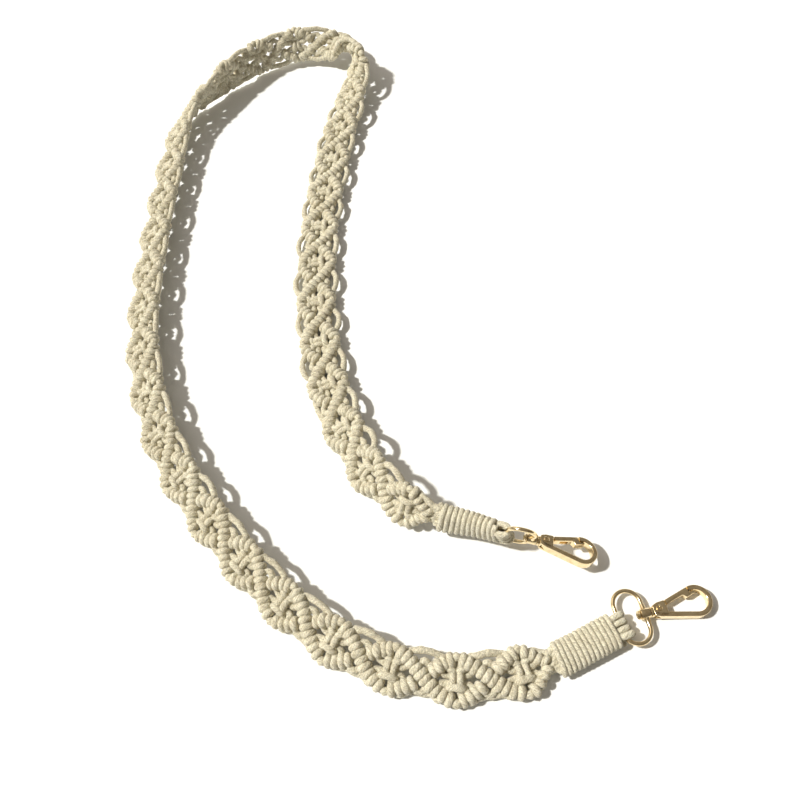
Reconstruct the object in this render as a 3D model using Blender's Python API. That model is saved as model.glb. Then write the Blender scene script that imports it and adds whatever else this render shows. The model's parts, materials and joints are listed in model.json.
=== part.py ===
"""A knotted cotton crossbody strap with wrapped ends and two swivel snap hooks.

The strap lies on a floor as a long open loop. Lengths are in metres, +Z is up, and
the origin is under the middle of the whole thing, on the floor. Along the strap, s
runs from the ring bar of end A to the ring bar of end B; v points to the outer edge
of the lying loop and w points out of the band's front face.
"""
import math

import bmesh
import bpy
import numpy as np
from mathutils import Matrix, Vector

MM = 0.001

# Strap
STRAP_LENGTH = 1130 * MM
BAND_WIDTH = 23.2 * MM
BAND_THICKNESS = 6.4 * MM
DIAMOND_PITCH = 30.2 * MM
CORD = 3.2 * MM
PICOT_STAND = 0.8 * MM
FIT_GAP = 0.3 * MM

# Wrapped ends
WRAP_LENGTH = 30 * MM
WRAP_WIDTH = 16.6 * MM
WRAP_THICKNESS = 9.4 * MM
WRAP_CORD = 2.5 * MM
WRAP_GROOVE = 0.55 * MM
ANCHOR_LOOPS = 4

# Ring and swivel
RING_WIDTH = 27 * MM
RING_DEPTH = 15 * MM
RING_WIRE = 2.1 * MM
BOSS_DIAMETER = 5.0 * MM
BOSS_LENGTH = 4.6 * MM
POST_DIAMETER = 2.0 * MM
POST_HEAD_DIAMETER = 4.2 * MM
POST_HEAD_THICKNESS = 1.3 * MM

# Hook
HOOK_LENGTH = 32 * MM
HOOK_WIDTH = 14.8 * MM
HOOK_THICKNESS = 4.4 * MM
HOOK_BAR = 2.3 * MM
HOOK_EDGE_BEVEL = 0.5 * MM
COLLAR_DIAMETER = 4.8 * MM
COLLAR_LENGTH = 1.2 * MM
HEAD_LENGTH = 6.4 * MM
HEAD_WIDTH = 7.4 * MM

# Gate
GATE_BAR = 2.3 * MM
GATE_THICKNESS = 3.6 * MM
GATE_TONGUE = 1.6 * MM
GATE_GROOVE = 1.0 * MM
NOSE_LAP = 2.0 * MM
RIVET_DIAMETER = 1.5 * MM
RIVET_HEAD_DIAMETER = 2.9 * MM
RIVET_HEAD_RISE = 0.4 * MM
PIVOT_GAP = 0.3 * MM

# Course of the strap on the floor: place as shares of the strap's length, roll of the
# band in degrees (the outer edge rises as it falls below zero), and rise above the
# height at which the band would rest, as a share of its width.
COURSE_COLUMNS = ("x", "y", "roll", "rise")
COURSE = (
    (0.0444, -0.1428, -96, 0.00),
    (0.0311, -0.1356, -80, -0.10),
    (0.0188, -0.1308, -64, -0.04),
    (0.0107, -0.1265, -56, 0.00),
    (0.0033, -0.1215, -50, 0.00),
    (-0.0046, -0.1121, -42, 0.00),
    (-0.0120, -0.0985, -31, 0.00),
    (-0.0178, -0.0830, -22, 0.00),
    (-0.0220, -0.0672, -14, 0.00),
    (-0.0253, -0.0488, -8, 0.00),
    (-0.0272, -0.0275, -4, 0.00),
    (-0.0274, 0.0040, -2, 0.00),
    (-0.0242, 0.0385, -2, 0.00),
    (-0.0199, 0.0665, -3, 0.00),
    (-0.0129, 0.0977, -5, 0.00),
    (-0.0042, 0.1305, -10, 0.00),
    (0.0025, 0.1503, -19, 0.00),
    (0.0082, 0.1666, -30, 0.00),
    (0.0122, 0.1780, -48, 0.04),
    (0.0124, 0.1880, -92, 0.09),
    (0.0073, 0.1988, -155, 0.32),
    (-0.0035, 0.2055, -212, 0.16),
    (-0.0207, 0.2090, -240, 0.03),
    (-0.0393, 0.2062, -250, 0.00),
    (-0.0571, 0.1975, -260, 0.00),
    (-0.0728, 0.1848, -274, 0.00),
    (-0.0870, 0.1704, -296, 0.00),
    (-0.0984, 0.1545, -317, 0.00),
    (-0.1046, 0.1333, -329, 0.00),
    (-0.1099, 0.1007, -334, 0.00),
    (-0.1149, 0.0600, -334, 0.00),
    (-0.1181, 0.0242, -334, 0.00),
    (-0.1183, -0.0089, -334, 0.00),
    (-0.1145, -0.0403, -334, 0.00),
    (-0.1071, -0.0680, -334, 0.00),
    (-0.0960, -0.0933, -335, 0.00),
    (-0.0812, -0.1185, -336, 0.00),
    (-0.0645, -0.1424, -336, 0.00),
    (-0.0451, -0.1645, -337, 0.00),
    (-0.0240, -0.1820, -339, 0.00),
    (-0.0065, -0.1915, -341, 0.00),
    (0.0128, -0.1972, -343, 0.00),
    (0.0325, -0.1988, -346, 0.00),
    (0.0467, -0.1975, -351, 0.00),
    (0.0599, -0.1943, -357, 0.03),
    (0.0731, -0.1898, -360, 0.05),
    (0.0842, -0.1862, -360, 0.05),
)

# How the metal lies at each end: heading and pitch of the swivel axis, lean of the
# ring's long axis from the floor, lean of the hook's width, all in degrees, and how
# far the ring has slid along its bar, as a share of the ring's width.
END_COLUMNS = ("name", "heading", "pitch", "ring_lean", "hook_lean", "slide")
ENDS = (
    ("a", -19.5, -13.5, 98, -15, 0.11),
    ("b", 6.0, -2.5, 0, 0, 0.12),
)

# One diamond of the band: place along the pitch, then shares of the half width for
# the edge, the raised knot row and its foot, and shares of the half thickness for
# the height at the foot and at the centre line.
DIAMOND_COLUMNS = ("along", "edge", "row", "foot", "foot_height", "centre_height")
DIAMOND = (
    (0.00, 0.62, 0.20, 0.10, 0.96, 1.00),
    (0.17, 0.70, 0.36, 0.18, 0.72, 0.70),
    (0.35, 0.91, 0.62, 0.38, 0.50, 0.66),
    (0.50, 1.00, 0.76, 0.46, 0.46, 0.92),
    (0.65, 0.91, 0.62, 0.38, 0.50, 0.66),
    (0.83, 0.70, 0.36, 0.18, 0.72, 0.70),
)
EDGE_HEIGHT = 0.46

# The rows of a diamond at which a picot leaves it, and at which it joins the next one,
# and how many points of the band's section are on the front and on the back.
PICOT_FROM_ROW = 4
PICOT_TO_ROW = 1
FRONT_POINTS = 7
BACK_POINTS = 4

# A picot between two diamonds: place along it, and stand as a share of the way from
# the edge that it leaves to its outermost line.
PICOT_COLUMNS = ("along", "stand")
PICOT = (
    (0.16, 0.60),
    (0.50, 1.00),
    (0.84, 0.60),
)

WIRE_SIDES = 8
ROUND_SIDES = 10
WRAP_SIDES = 12
ARC_STEPS = 8
LOOP_STEPS = 6
OVAL_POWER = 2.6
SHARP_ANGLE = 40

# Cord loops: reach where they enter the wrap, between two loops and at the outer ones,
# as shares of the full reach.
LOOP_ROOT = 0.92
LOOP_VALLEY = 0.88
LOOP_END = 0.70

# Hook head: where its shoulder is and how wide, where the rivet is, as shares.
SHOULDER_ALONG = 0.4
SHOULDER_WIDTH = 0.92
RIVET_ALONG = 0.45
RIVET_ACROSS = 0.06
KNOB_CROWN = 0.55
RIVET_CROWN = 0.6

# Finishes: colour, metallic and roughness
COTTON_FINISH = ((0.80, 0.75, 0.61, 1.0), 0.0, 0.9)
GOLD_FINISH = ((0.80, 0.60, 0.33, 1.0), 1.0, 0.22)


def rows_of(columns, table):
    """Give each row of a table by the names of its columns."""
    return [dict(zip(columns, row)) for row in table]


def clear_scene():
    for obj in list(bpy.data.objects):
        bpy.data.objects.remove(obj, do_unlink=True)


def material(name, colour, metallic, roughness):
    mat = bpy.data.materials.new(name)
    mat.use_nodes = True
    shader = mat.node_tree.nodes["Principled BSDF"]
    shader.inputs["Base Color"].default_value = colour
    shader.inputs["Roughness"].default_value = roughness
    shader.inputs["Metallic"].default_value = metallic
    mat.diffuse_color = colour
    return mat


def add_mesh(name, points, faces, finish=COTTON_FINISH):
    """Make one closed mesh object with its faces pointing out."""
    mesh = bpy.data.meshes.new(name)
    mesh.from_pydata([tuple(p) for p in points], [], [tuple(f) for f in faces])
    work = bmesh.new()
    work.from_mesh(mesh)
    bmesh.ops.recalc_face_normals(work, faces=work.faces)
    if work.calc_volume(signed=True) < 0:
        bmesh.ops.reverse_faces(work, faces=work.faces)
    bmesh.ops.triangulate(work, faces=[f for f in work.faces if len(f.verts) > 3])
    work.to_mesh(mesh)
    work.free()
    mesh.materials.append(material(name + "_material", *finish))
    obj = bpy.data.objects.new(name, mesh)
    bpy.context.scene.collection.objects.link(obj)
    return obj


def combine(obj, other, operation):
    """Join another solid to this one, or cut it out, and drop the other."""
    tool = obj.modifiers.new(operation.lower(), "BOOLEAN")
    tool.operation = operation
    tool.solver = "EXACT"
    tool.object = other
    bpy.context.view_layer.update()
    depsgraph = bpy.context.evaluated_depsgraph_get()
    result = bpy.data.meshes.new_from_object(obj.evaluated_get(depsgraph))
    obj.modifiers.clear()
    kept = obj.data.materials[0]
    obj.data = result
    obj.data.materials.clear()
    obj.data.materials.append(kept)
    bpy.data.objects.remove(other, do_unlink=True)
    return obj


def ring_faces(rings, sides, closed=False):
    """Join rings of points, each with the same number of sides, into a skin."""
    faces = []
    for low in range(rings if closed else rings - 1):
        high = (low + 1) % rings
        for side in range(sides):
            following = (side + 1) % sides
            faces.append((low * sides + side, low * sides + following,
                          high * sides + following, high * sides + side))
    if not closed:
        faces.append(tuple(range(sides)))
        faces.append(tuple(range((rings - 1) * sides, rings * sides)))
    return faces


def oval(half_width, half_thickness, sides=WRAP_SIDES):
    """A rounded oval outline as (v, w) pairs."""
    points = []
    for side in range(sides):
        angle = 2 * math.pi * side / sides
        across = math.cos(angle)
        up = math.sin(angle)
        points.append((half_width * math.copysign(abs(across) ** (2 / OVAL_POWER), across),
                       half_thickness * math.copysign(abs(up) ** (2 / OVAL_POWER), up)))
    return points


class NaturalSpline:
    """A smooth curve through values at increasing places, straight at both ends."""

    def __init__(self, places, values):
        self.places = np.asarray(places, float)
        self.values = np.asarray(values, float)
        steps = np.diff(self.places)
        slopes = np.diff(self.values, axis=0) / steps[:, None]
        count = len(self.places)
        matrix = np.eye(count)
        right = np.zeros_like(self.values)
        for row in range(1, count - 1):
            matrix[row, row - 1] = steps[row - 1]
            matrix[row, row] = 2 * (steps[row - 1] + steps[row])
            matrix[row, row + 1] = steps[row]
            right[row] = 6 * (slopes[row] - slopes[row - 1])
        self.bend = np.linalg.solve(matrix, right)

    def __call__(self, place):
        place = min(max(place, self.places[0]), self.places[-1])
        low = int(np.searchsorted(self.places, place, side="right")) - 1
        low = min(max(low, 0), len(self.places) - 2)
        step = self.places[low + 1] - self.places[low]
        after = (place - self.places[low]) / step
        before = 1 - after
        curve = (before ** 3 - before) * self.bend[low] + (after ** 3 - after) * self.bend[low + 1]
        return before * self.values[low] + after * self.values[low + 1] + curve * step ** 2 / 6


def resting_height(roll):
    """Height of the band's centre line when its lowest knots or picots touch the floor."""
    rise = abs(math.sin(roll))
    flat = abs(math.cos(roll))
    picot = (BAND_WIDTH / 2 + PICOT_STAND + CORD / 2) * rise + EDGE_HEIGHT * BAND_THICKNESS / 2 * flat
    widest = max(row["row"] for row in rows_of(DIAMOND_COLUMNS, DIAMOND))
    knots = widest * BAND_WIDTH / 2 * rise + BAND_THICKNESS / 2 * flat
    return max(picot, knots)


class Course:
    """The strap's line through its stations, with a frame at any place along it."""

    SAMPLES = 4000

    def __init__(self):
        knots = []
        for station in rows_of(COURSE_COLUMNS, COURSE):
            roll = math.radians(station["roll"])
            rest = resting_height(roll)
            knots.append((station["x"] * STRAP_LENGTH, station["y"] * STRAP_LENGTH,
                          rest + station["rise"] * BAND_WIDTH, roll))
        knots = np.array(knots)
        chords = np.linalg.norm(np.diff(knots[:, :2], axis=0), axis=1)
        places = np.concatenate(([0.0], np.cumsum(chords)))
        spline = NaturalSpline(places, knots)
        self.samples = np.array([spline(p) for p in np.linspace(0, places[-1], self.SAMPLES)])
        steps = np.linalg.norm(np.diff(self.samples[:, :3], axis=0), axis=1)
        self.lengths = np.concatenate(([0.0], np.cumsum(steps)))
        self.length = float(self.lengths[-1])

    def read(self, s):
        return [float(np.interp(s, self.lengths, self.samples[:, column])) for column in range(4)]

    def frame(self, s):
        """Point, direction, outward edge and front at s, carried straight on past the ends."""
        held = min(max(s, 0.0), self.length)
        reach = STRAP_LENGTH / self.SAMPLES * 2
        before = self.read(max(held - reach, 0.0))
        after = self.read(min(held + reach, self.length))
        x, y, z, roll = self.read(held)
        along = (Vector(after[:3]) - Vector(before[:3])).normalized()
        left = Vector((0, 0, 1)).cross(along).normalized()
        up = along.cross(left)
        outer = -(math.cos(roll) * left + math.sin(roll) * up)
        front = -math.sin(roll) * left + math.cos(roll) * up
        return Vector((x, y, z)) + along * (s - held), along, outer, front

    def place(self, s, v, w):
        point, _, outer, front = self.frame(s)
        return point + outer * v + front * w


def wrap_start():
    """Where a wrap begins, past the cord loops that turn round the ring's bar."""
    return RING_WIRE / 2 + FIT_GAP + CORD


def band_start():
    return wrap_start() + WRAP_LENGTH + FIT_GAP


def make_band(course):
    """The knotted band: a chain of diamonds with picot loops bridging their notches."""
    half = BAND_WIDTH / 2
    rise = BAND_THICKNESS / 2
    start = band_start()
    run = course.length - 2 * start
    count = round(run / DIAMOND_PITCH)
    pitch = run / count
    rows = rows_of(DIAMOND_COLUMNS, DIAMOND)
    per = len(rows)
    stations = [(k * pitch + row["along"] * pitch, row) for k in range(count) for row in rows]
    stations.append((run, rows[0]))
    points = []
    for along, row in stations:
        edge = row["edge"] * half
        top = [(-edge, EDGE_HEIGHT * rise), (-row["row"] * half, rise),
               (-row["foot"] * half, row["foot_height"] * rise), (0.0, row["centre_height"] * rise),
               (row["foot"] * half, row["foot_height"] * rise), (row["row"] * half, rise),
               (edge, EDGE_HEIGHT * rise)]
        back = [(edge, -EDGE_HEIGHT * rise), (edge / 2, -rise), (-edge / 2, -rise),
                (-edge, -EDGE_HEIGHT * rise)]
        points.extend(course.place(start + along, v, w) for v, w in top + back)
    sides = FRONT_POINTS + BACK_POINTS
    outer_side = FRONT_POINTS - 1
    inner_side = sides - 1
    open_rows = set()
    for k in range(count - 1):
        open_rows.update((k * per + PICOT_FROM_ROW, (k + 1) * per + PICOT_TO_ROW))
    faces = []
    for low in range(len(stations) - 1):
        for side in range(sides):
            if low in open_rows and side in (outer_side, inner_side):
                continue
            following = (side + 1) % sides
            faces.append((low * sides + side, low * sides + following,
                          (low + 1) * sides + following, (low + 1) * sides + side))
    faces.append(tuple(range(sides)))
    faces.append(tuple(range((len(stations) - 1) * sides, len(stations) * sides)))
    for k in range(count - 1):
        for sign, top_edge, back_edge in ((1, outer_side, outer_side + 1), (-1, 0, inner_side)):
            add_picot(points, faces, course, start, stations, k, per, sign, top_edge, back_edge, sides)
    return add_mesh("macrame_band", points, faces)


def add_picot(points, faces, course, start, stations, k, per, sign, top_edge, back_edge, sides):
    """Bridge from the side of one diamond to the next with a bent cord of four sides."""
    low = k * per + PICOT_FROM_ROW
    high = (k + 1) * per + PICOT_TO_ROW
    first = [low * sides + top_edge, (low + 1) * sides + top_edge,
             (low + 1) * sides + back_edge, low * sides + back_edge]
    last = [(high + 1) * sides + top_edge, high * sides + top_edge,
            high * sides + back_edge, (high + 1) * sides + back_edge]
    begin = (stations[low][0] + stations[low + 1][0]) / 2
    finish = (stations[high][0] + stations[high + 1][0]) / 2
    half = BAND_WIDTH / 2
    foot = (stations[low][1]["edge"] + stations[low + 1][1]["edge"]) / 2 * half
    rise = half + PICOT_STAND - foot
    line = [(begin, foot)]
    for row in rows_of(PICOT_COLUMNS, PICOT):
        line.append((begin + row["along"] * (finish - begin), foot + row["stand"] * rise))
    line.append((finish, foot))
    rings = [first]
    size = CORD / 2
    for step in range(1, len(line) - 1):
        run = line[step + 1][0] - line[step - 1][0]
        climb = line[step + 1][1] - line[step - 1][1]
        span = math.hypot(run, climb)
        out_s = -climb / span * size
        out_v = run / span * size
        s, v = line[step]
        ring = []
        for side, up in ((1, 1), (-1, 1), (-1, -1), (1, -1)):
            ring.append(len(points))
            points.append(course.place(start + s + side * out_s, sign * (v + side * out_v),
                                       up * EDGE_HEIGHT * BAND_THICKNESS / 2))
        rings.append(ring)
    rings.append(last)
    for ring, following in zip(rings, rings[1:]):
        for side in range(4):
            other = (side + 1) % 4
            faces.append((ring[side], ring[other], following[other], following[side]))


def end_reader(course, name):
    """A way to place points by their distance from the ring bar of either end."""
    if name == "a":
        return course.place
    return lambda s, v, w: course.place(course.length - s, v, w)


def make_wrap(course, name):
    """The coil round an end: a ribbed oval sleeve on the cord bundle."""
    place = end_reader(course, name)
    turns = round(WRAP_LENGTH / WRAP_CORD)
    start = wrap_start()
    points = []
    outer_rows = 2 * turns + 1
    for row in range(outer_rows):
        depth = WRAP_GROOVE if row % 2 == 0 else 0.0
        s = start + WRAP_LENGTH * row / (outer_rows - 1)
        points.extend(place(s, v, w) for v, w in oval(WRAP_WIDTH / 2 - depth, WRAP_THICKNESS / 2 - depth))
    bore_rows = turns // 3 + 1
    for row in range(bore_rows):
        s = start + WRAP_LENGTH * (1 - row / (bore_rows - 1))
        points.extend(place(s, v, w) for v, w in oval(*bore_half_sizes()))
    return add_mesh("wrap_" + name, points, ring_faces(outer_rows + bore_rows, WRAP_SIDES, closed=True))


def bore_half_sizes():
    return WRAP_WIDTH / 2 - WRAP_CORD, WRAP_THICKNESS / 2 - WRAP_CORD


def make_anchor(course, name, ring_frame):
    """The cord bundle inside a wrap and its loops round the ring's bar."""
    place = end_reader(course, name)
    half_width, half_thickness = bore_half_sizes()
    stop = wrap_start() + WRAP_LENGTH
    loop_face = wrap_start() - FIT_GAP
    rows = round(WRAP_LENGTH / WRAP_CORD) // 3 + 1
    points = []
    core_starts = [loop_face - CORD / 2]
    core_starts += [wrap_start() + WRAP_LENGTH * row / (rows - 1) for row in range(rows)]
    for s in core_starts:
        points.extend(place(s, v, w) for v, w in oval(half_width - FIT_GAP, half_thickness - FIT_GAP))
    anchor = add_mesh("anchor_cords_" + name, points, ring_faces(len(core_starts), WRAP_SIDES))
    points = []
    reach = RING_WIRE / 2 + FIT_GAP + CORD
    span = WRAP_WIDTH - WRAP_CORD
    rows = 2 * ANCHOR_LOOPS + 1
    profile = [(loop_face, LOOP_ROOT * reach)]
    for step in range(LOOP_STEPS):
        angle = math.pi / 2 + math.pi * step / (LOOP_STEPS - 1)
        profile.append((reach * math.cos(angle), reach * math.sin(angle)))
    profile.append((loop_face, -LOOP_ROOT * reach))
    for row in range(rows):
        v = span * (row / (rows - 1) - 0.5)
        swell = 1.0 if row % 2 else LOOP_VALLEY
        if row in (0, rows - 1):
            swell = LOOP_END
        points.extend(place(s if s > 0 else s * swell, v, w * swell) for s, w in profile)
    loops = add_mesh("loops", points, ring_faces(rows, len(profile)))
    combine(anchor, loops, "UNION")
    tunnel = make_ring_wire("tunnel", RING_WIRE / 2 + FIT_GAP)
    tunnel.matrix_world = ring_frame
    combine(anchor, tunnel, "DIFFERENCE")
    return anchor


def ring_line():
    """The ring's centre line: a flattened loop, its near bar on the local Y axis."""
    bend = (RING_DEPTH - RING_WIRE) / 2
    straight = (RING_WIDTH - RING_WIRE) / 2 - bend
    line = []
    for turn, sign in ((-math.pi / 2, 1), (math.pi / 2, -1)):
        for step in range(ARC_STEPS):
            angle = math.pi * step / (ARC_STEPS - 1)
            around = math.pi + angle + (0 if sign == 1 else math.pi)
            line.append((bend + bend * math.cos(around), -sign * straight + bend * math.sin(around)))
    return line


def make_ring_wire(name, radius):
    line = ring_line()
    middle = sum(x for x, _ in line) / len(line)
    points = []
    for index, (x, y) in enumerate(line):
        before = line[index - 1]
        after = line[(index + 1) % len(line)]
        run = Vector((after[0] - before[0], after[1] - before[1], 0)).normalized()
        side_way = Vector((run.y, -run.x, 0))
        if side_way.dot(Vector((x - middle, y, 0))) < 0:
            side_way = -side_way
        for side in range(WIRE_SIDES):
            angle = 2 * math.pi * (side + 0.5) / WIRE_SIDES
            points.append(Vector((x, y, 0)) + side_way * radius * math.cos(angle)
                          + Vector((0, 0, radius * math.sin(angle))))
    faces = ring_faces(len(line), WIRE_SIDES, closed=True)
    return add_mesh(name, points, faces, GOLD_FINISH)


def turned(name, profile, sides=ROUND_SIDES):
    """A solid turned about the local X axis, from (place, radius) pairs."""
    points = []
    for x, radius in profile:
        for side in range(sides):
            angle = 2 * math.pi * (side + 0.5) / sides
            points.append((x, radius * math.cos(angle), radius * math.sin(angle)))
    return add_mesh(name, points, ring_faces(len(profile), sides), GOLD_FINISH)


def make_ring(name, frame):
    """The oval wire ring with the boss that the hook's post turns in."""
    ring = make_ring_wire("ring_" + name, RING_WIRE / 2)
    far = RING_DEPTH - RING_WIRE
    half = BOSS_LENGTH / 2
    radius = BOSS_DIAMETER / 2
    edge = HOOK_EDGE_BEVEL
    boss = turned("boss", [(far - half, radius - edge), (far - half + edge, radius),
                           (far + half - edge, radius), (far + half, radius - edge)])
    combine(ring, boss, "UNION")
    bore = turned("bore", [(far - BOSS_LENGTH, POST_DIAMETER / 2 + FIT_GAP),
                           (far + BOSS_LENGTH, POST_DIAMETER / 2 + FIT_GAP)])
    combine(ring, bore, "DIFFERENCE")
    ring.matrix_world = frame
    return ring


def offset_outline(outline, inset):
    """Move each edge of a convex outline inwards; the outline runs anticlockwise."""
    result = []
    for index, point in enumerate(outline):
        before = Vector(outline[index - 1])
        here = Vector(point)
        after = Vector(outline[(index + 1) % len(outline)])
        first = (here - before).normalized()
        second = (after - here).normalized()
        first_in = Vector((-first.y, first.x))
        second_in = Vector((-second.y, second.x))
        corner = first_in + second_in
        result.append(here + corner * (inset / (1 + first_in.dot(second_in))))
    return result


def plate(name, outline, thickness, bevel):
    """A flat plate with bevelled rims, from an outline in the local XY plane."""
    inner = offset_outline(outline, bevel)
    half = thickness / 2
    points = []
    for height, ring in ((-half, inner), (-half + bevel, outline), (half - bevel, outline), (half, inner)):
        points.extend((p[0], p[1], height) for p in ring)
    return add_mesh(name, points, ring_faces(4, len(outline)), GOLD_FINISH)


def block(name, low, high):
    """A plain box between two corners."""
    points = [(x, y, z) for z in (low[2], high[2])
              for x, y in ((low[0], low[1]), (high[0], low[1]), (high[0], high[1]), (low[0], high[1]))]
    return add_mesh(name, points, ring_faces(2, 4), GOLD_FINISH)


class Clasp:
    """The places on a hook, in its own frame: X along the swivel, Y towards the gate."""

    def __init__(self):
        self.collar_start = BOSS_LENGTH / 2 + FIT_GAP
        self.head_start = self.collar_start + COLLAR_LENGTH
        self.head_end = self.head_start + HEAD_LENGTH
        self.rivet = Vector((self.head_start + RIVET_ALONG * HEAD_LENGTH, RIVET_ACROSS * HEAD_WIDTH))
        self.turn = HOOK_WIDTH / 2
        self.centre = Vector((HOOK_LENGTH - self.turn, 0))
        root = Vector((self.head_end + PIVOT_GAP, HEAD_WIDTH / 2))
        self.gate_angle = self.tangent_angle(root, self.turn)
        self.gate_root = (root - self.centre).dot(self.gate_along())
        self.bar_inner = self.turn - GATE_BAR

    def tangent_angle(self, start, radius):
        """Heading of the line from a start that touches the round end's far side."""
        way = self.centre - start
        return math.atan2(way.y, way.x) + math.asin(radius / way.length)

    def gate_along(self):
        return Vector((math.cos(self.gate_angle), math.sin(self.gate_angle)))

    def gate_out(self):
        return Vector((-math.sin(self.gate_angle), math.cos(self.gate_angle)))

    def on_gate(self, along, out):
        return self.centre + self.gate_along() * along + self.gate_out() * out


def make_hook(name, clasp, frame):
    """Hook body: head plate, collar, post with its round head, spine, round end and nose."""
    start = clasp.head_start
    wide = HEAD_WIDTH / 2
    collar = COLLAR_DIAMETER / 2
    shoulder = start + SHOULDER_ALONG * HEAD_LENGTH
    hook = plate("hook_" + name, [(start, -collar), (shoulder, -wide * SHOULDER_WIDTH),
                                  (clasp.head_end, -wide), (clasp.head_end, wide),
                                  (shoulder, wide * SHOULDER_WIDTH), (start, collar)],
                 HOOK_THICKNESS, HOOK_EDGE_BEVEL)
    combine(hook, make_spine(clasp), "UNION")
    far = -(BOSS_LENGTH / 2 + FIT_GAP)
    post = POST_DIAMETER / 2
    knob = POST_HEAD_DIAMETER / 2
    crown = far - KNOB_CROWN * POST_HEAD_THICKNESS
    pin = turned("pin", [(far - POST_HEAD_THICKNESS, KNOB_CROWN * knob), (crown, knob),
                         (far, knob), (far, post), (clasp.collar_start, post),
                         (clasp.collar_start, collar), (start + HEAD_LENGTH * 0.1, collar)])
    combine(hook, pin, "UNION")
    eye = gate_eye()
    slot = GATE_TONGUE / 2 + PIVOT_GAP
    cut = block("slot", (clasp.rivet.x - eye - PIVOT_GAP, clasp.rivet.y - eye - 3 * PIVOT_GAP, -slot),
                (clasp.head_end + HOOK_BAR, HEAD_WIDTH, slot))
    combine(hook, cut, "DIFFERENCE")
    combine(hook, rivet_bore(clasp), "DIFFERENCE")
    hook.matrix_world = frame
    return hook


def rivet_bore(clasp):
    bore = turned("rivet_bore", [(-HOOK_THICKNESS, RIVET_DIAMETER / 2 + PIVOT_GAP),
                                 (HOOK_THICKNESS, RIVET_DIAMETER / 2 + PIVOT_GAP)])
    bore.matrix_world = Matrix.Translation(clasp.rivet.to_3d()) @ Matrix.Rotation(math.pi / 2, 4, "Y")
    return bore


def make_spine(clasp):
    """The bar from the head round the end of the hook to the nose."""
    radius = clasp.turn - HOOK_BAR / 2
    root = Vector((clasp.head_end - HOOK_BAR, -(HEAD_WIDTH - HOOK_BAR) / 2))
    way = clasp.centre - root
    heading = math.atan2(way.y, way.x) - math.asin(radius / way.length)
    first = heading - math.pi / 2
    last = clasp.gate_angle + math.pi / 2
    line = [(root, Vector((math.sin(heading), -math.cos(heading))))]
    steps = ARC_STEPS + 4
    for step in range(steps):
        angle = first + (last - first) * step / (steps - 1)
        out = Vector((math.cos(angle), math.sin(angle)))
        line.append((clasp.centre + out * radius, out))
    half = HOOK_BAR / 2
    tall = HOOK_THICKNESS / 2
    edge = HOOK_EDGE_BEVEL
    section = [(half, -tall + edge), (half, tall - edge), (half - edge, tall), (-half + edge, tall),
               (-half, tall - edge), (-half, -tall + edge), (-half + edge, -tall), (half - edge, -tall)]
    points = []
    for point, out in line:
        points.extend((point + out * across).to_3d() + Vector((0, 0, up)) for across, up in section)
    return add_mesh("spine", points, ring_faces(len(line), len(section)), GOLD_FINISH)


def gate_eye():
    """Outer radius of the gate's eye round the rivet."""
    return RIVET_DIAMETER / 2 + PIVOT_GAP + GATE_TONGUE / 2


def make_gate(name, clasp, frame):
    """The gate: an eye on the rivet, a grooved lever, and a step that laps the nose."""
    inner = clasp.bar_inner
    outer = clasp.turn
    lap_out = math.sqrt(inner ** 2 - NOSE_LAP ** 2) - FIT_GAP
    lap_in = lap_out - GATE_BAR / 2
    step_start = -FIT_GAP - 1.5 * GATE_BAR
    bar = [clasp.on_gate(clasp.gate_root, inner), clasp.on_gate(step_start, inner),
           clasp.on_gate(step_start + GATE_BAR / 2, lap_in), clasp.on_gate(NOSE_LAP, lap_in),
           clasp.on_gate(NOSE_LAP, lap_out), clasp.on_gate(-FIT_GAP, lap_out),
           clasp.on_gate(-FIT_GAP, outer), clasp.on_gate(clasp.gate_root, outer)]
    gate = plain_plate("gate_" + name, bar, GATE_THICKNESS)
    eye = gate_eye()
    root = clasp.on_gate(clasp.gate_root + GATE_BAR, (inner + outer) / 2)
    heading = math.atan2(root.y - clasp.rivet.y, root.x - clasp.rivet.x)
    tongue = []
    for step in range(ARC_STEPS):
        angle = heading + math.pi / 2 + math.pi * step / (ARC_STEPS - 1)
        tongue.append(clasp.rivet + Vector((math.cos(angle), math.sin(angle))) * eye)
    side = Vector((-math.sin(heading), math.cos(heading))) * (GATE_BAR / 2 * 0.9)
    tongue.extend((root - side, root + side))
    combine(gate, plain_plate("tongue", tongue, GATE_TONGUE), "UNION")
    combine(gate, rivet_bore(clasp), "DIFFERENCE")
    groove = block("groove", (clasp.gate_root + 1.5 * GATE_BAR, inner - GATE_GROOVE, -GATE_TONGUE / 2),
                   (step_start - GATE_BAR, inner + GATE_GROOVE, GATE_TONGUE / 2))
    groove.matrix_world = (Matrix.Translation(clasp.centre.to_3d())
                           @ Matrix.Rotation(clasp.gate_angle, 4, "Z"))
    combine(gate, groove, "DIFFERENCE")
    pivot = Matrix.Translation(clasp.rivet.to_3d())
    gate.data.transform(pivot.inverted())
    gate.matrix_world = frame @ pivot
    return gate


def plain_plate(name, outline, thickness):
    half = thickness / 2
    points = [(p[0], p[1], height) for height in (-half, half) for p in outline]
    return add_mesh(name, points, ring_faces(2, len(outline)), GOLD_FINISH)


def make_rivet(name, clasp, frame):
    tall = HOOK_THICKNESS / 2 + FIT_GAP
    pin = RIVET_DIAMETER / 2
    wide = RIVET_HEAD_DIAMETER / 2
    top = tall + RIVET_HEAD_RISE
    rivet = turned("rivet_" + name, [(-top, RIVET_CROWN * wide), (-tall, wide), (-tall, pin),
                                     (tall, pin), (tall, wide), (top, RIVET_CROWN * wide)])
    rivet.matrix_world = (frame @ Matrix.Translation(clasp.rivet.to_3d())
                          @ Matrix.Rotation(math.pi / 2, 4, "Y"))
    return rivet


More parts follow.
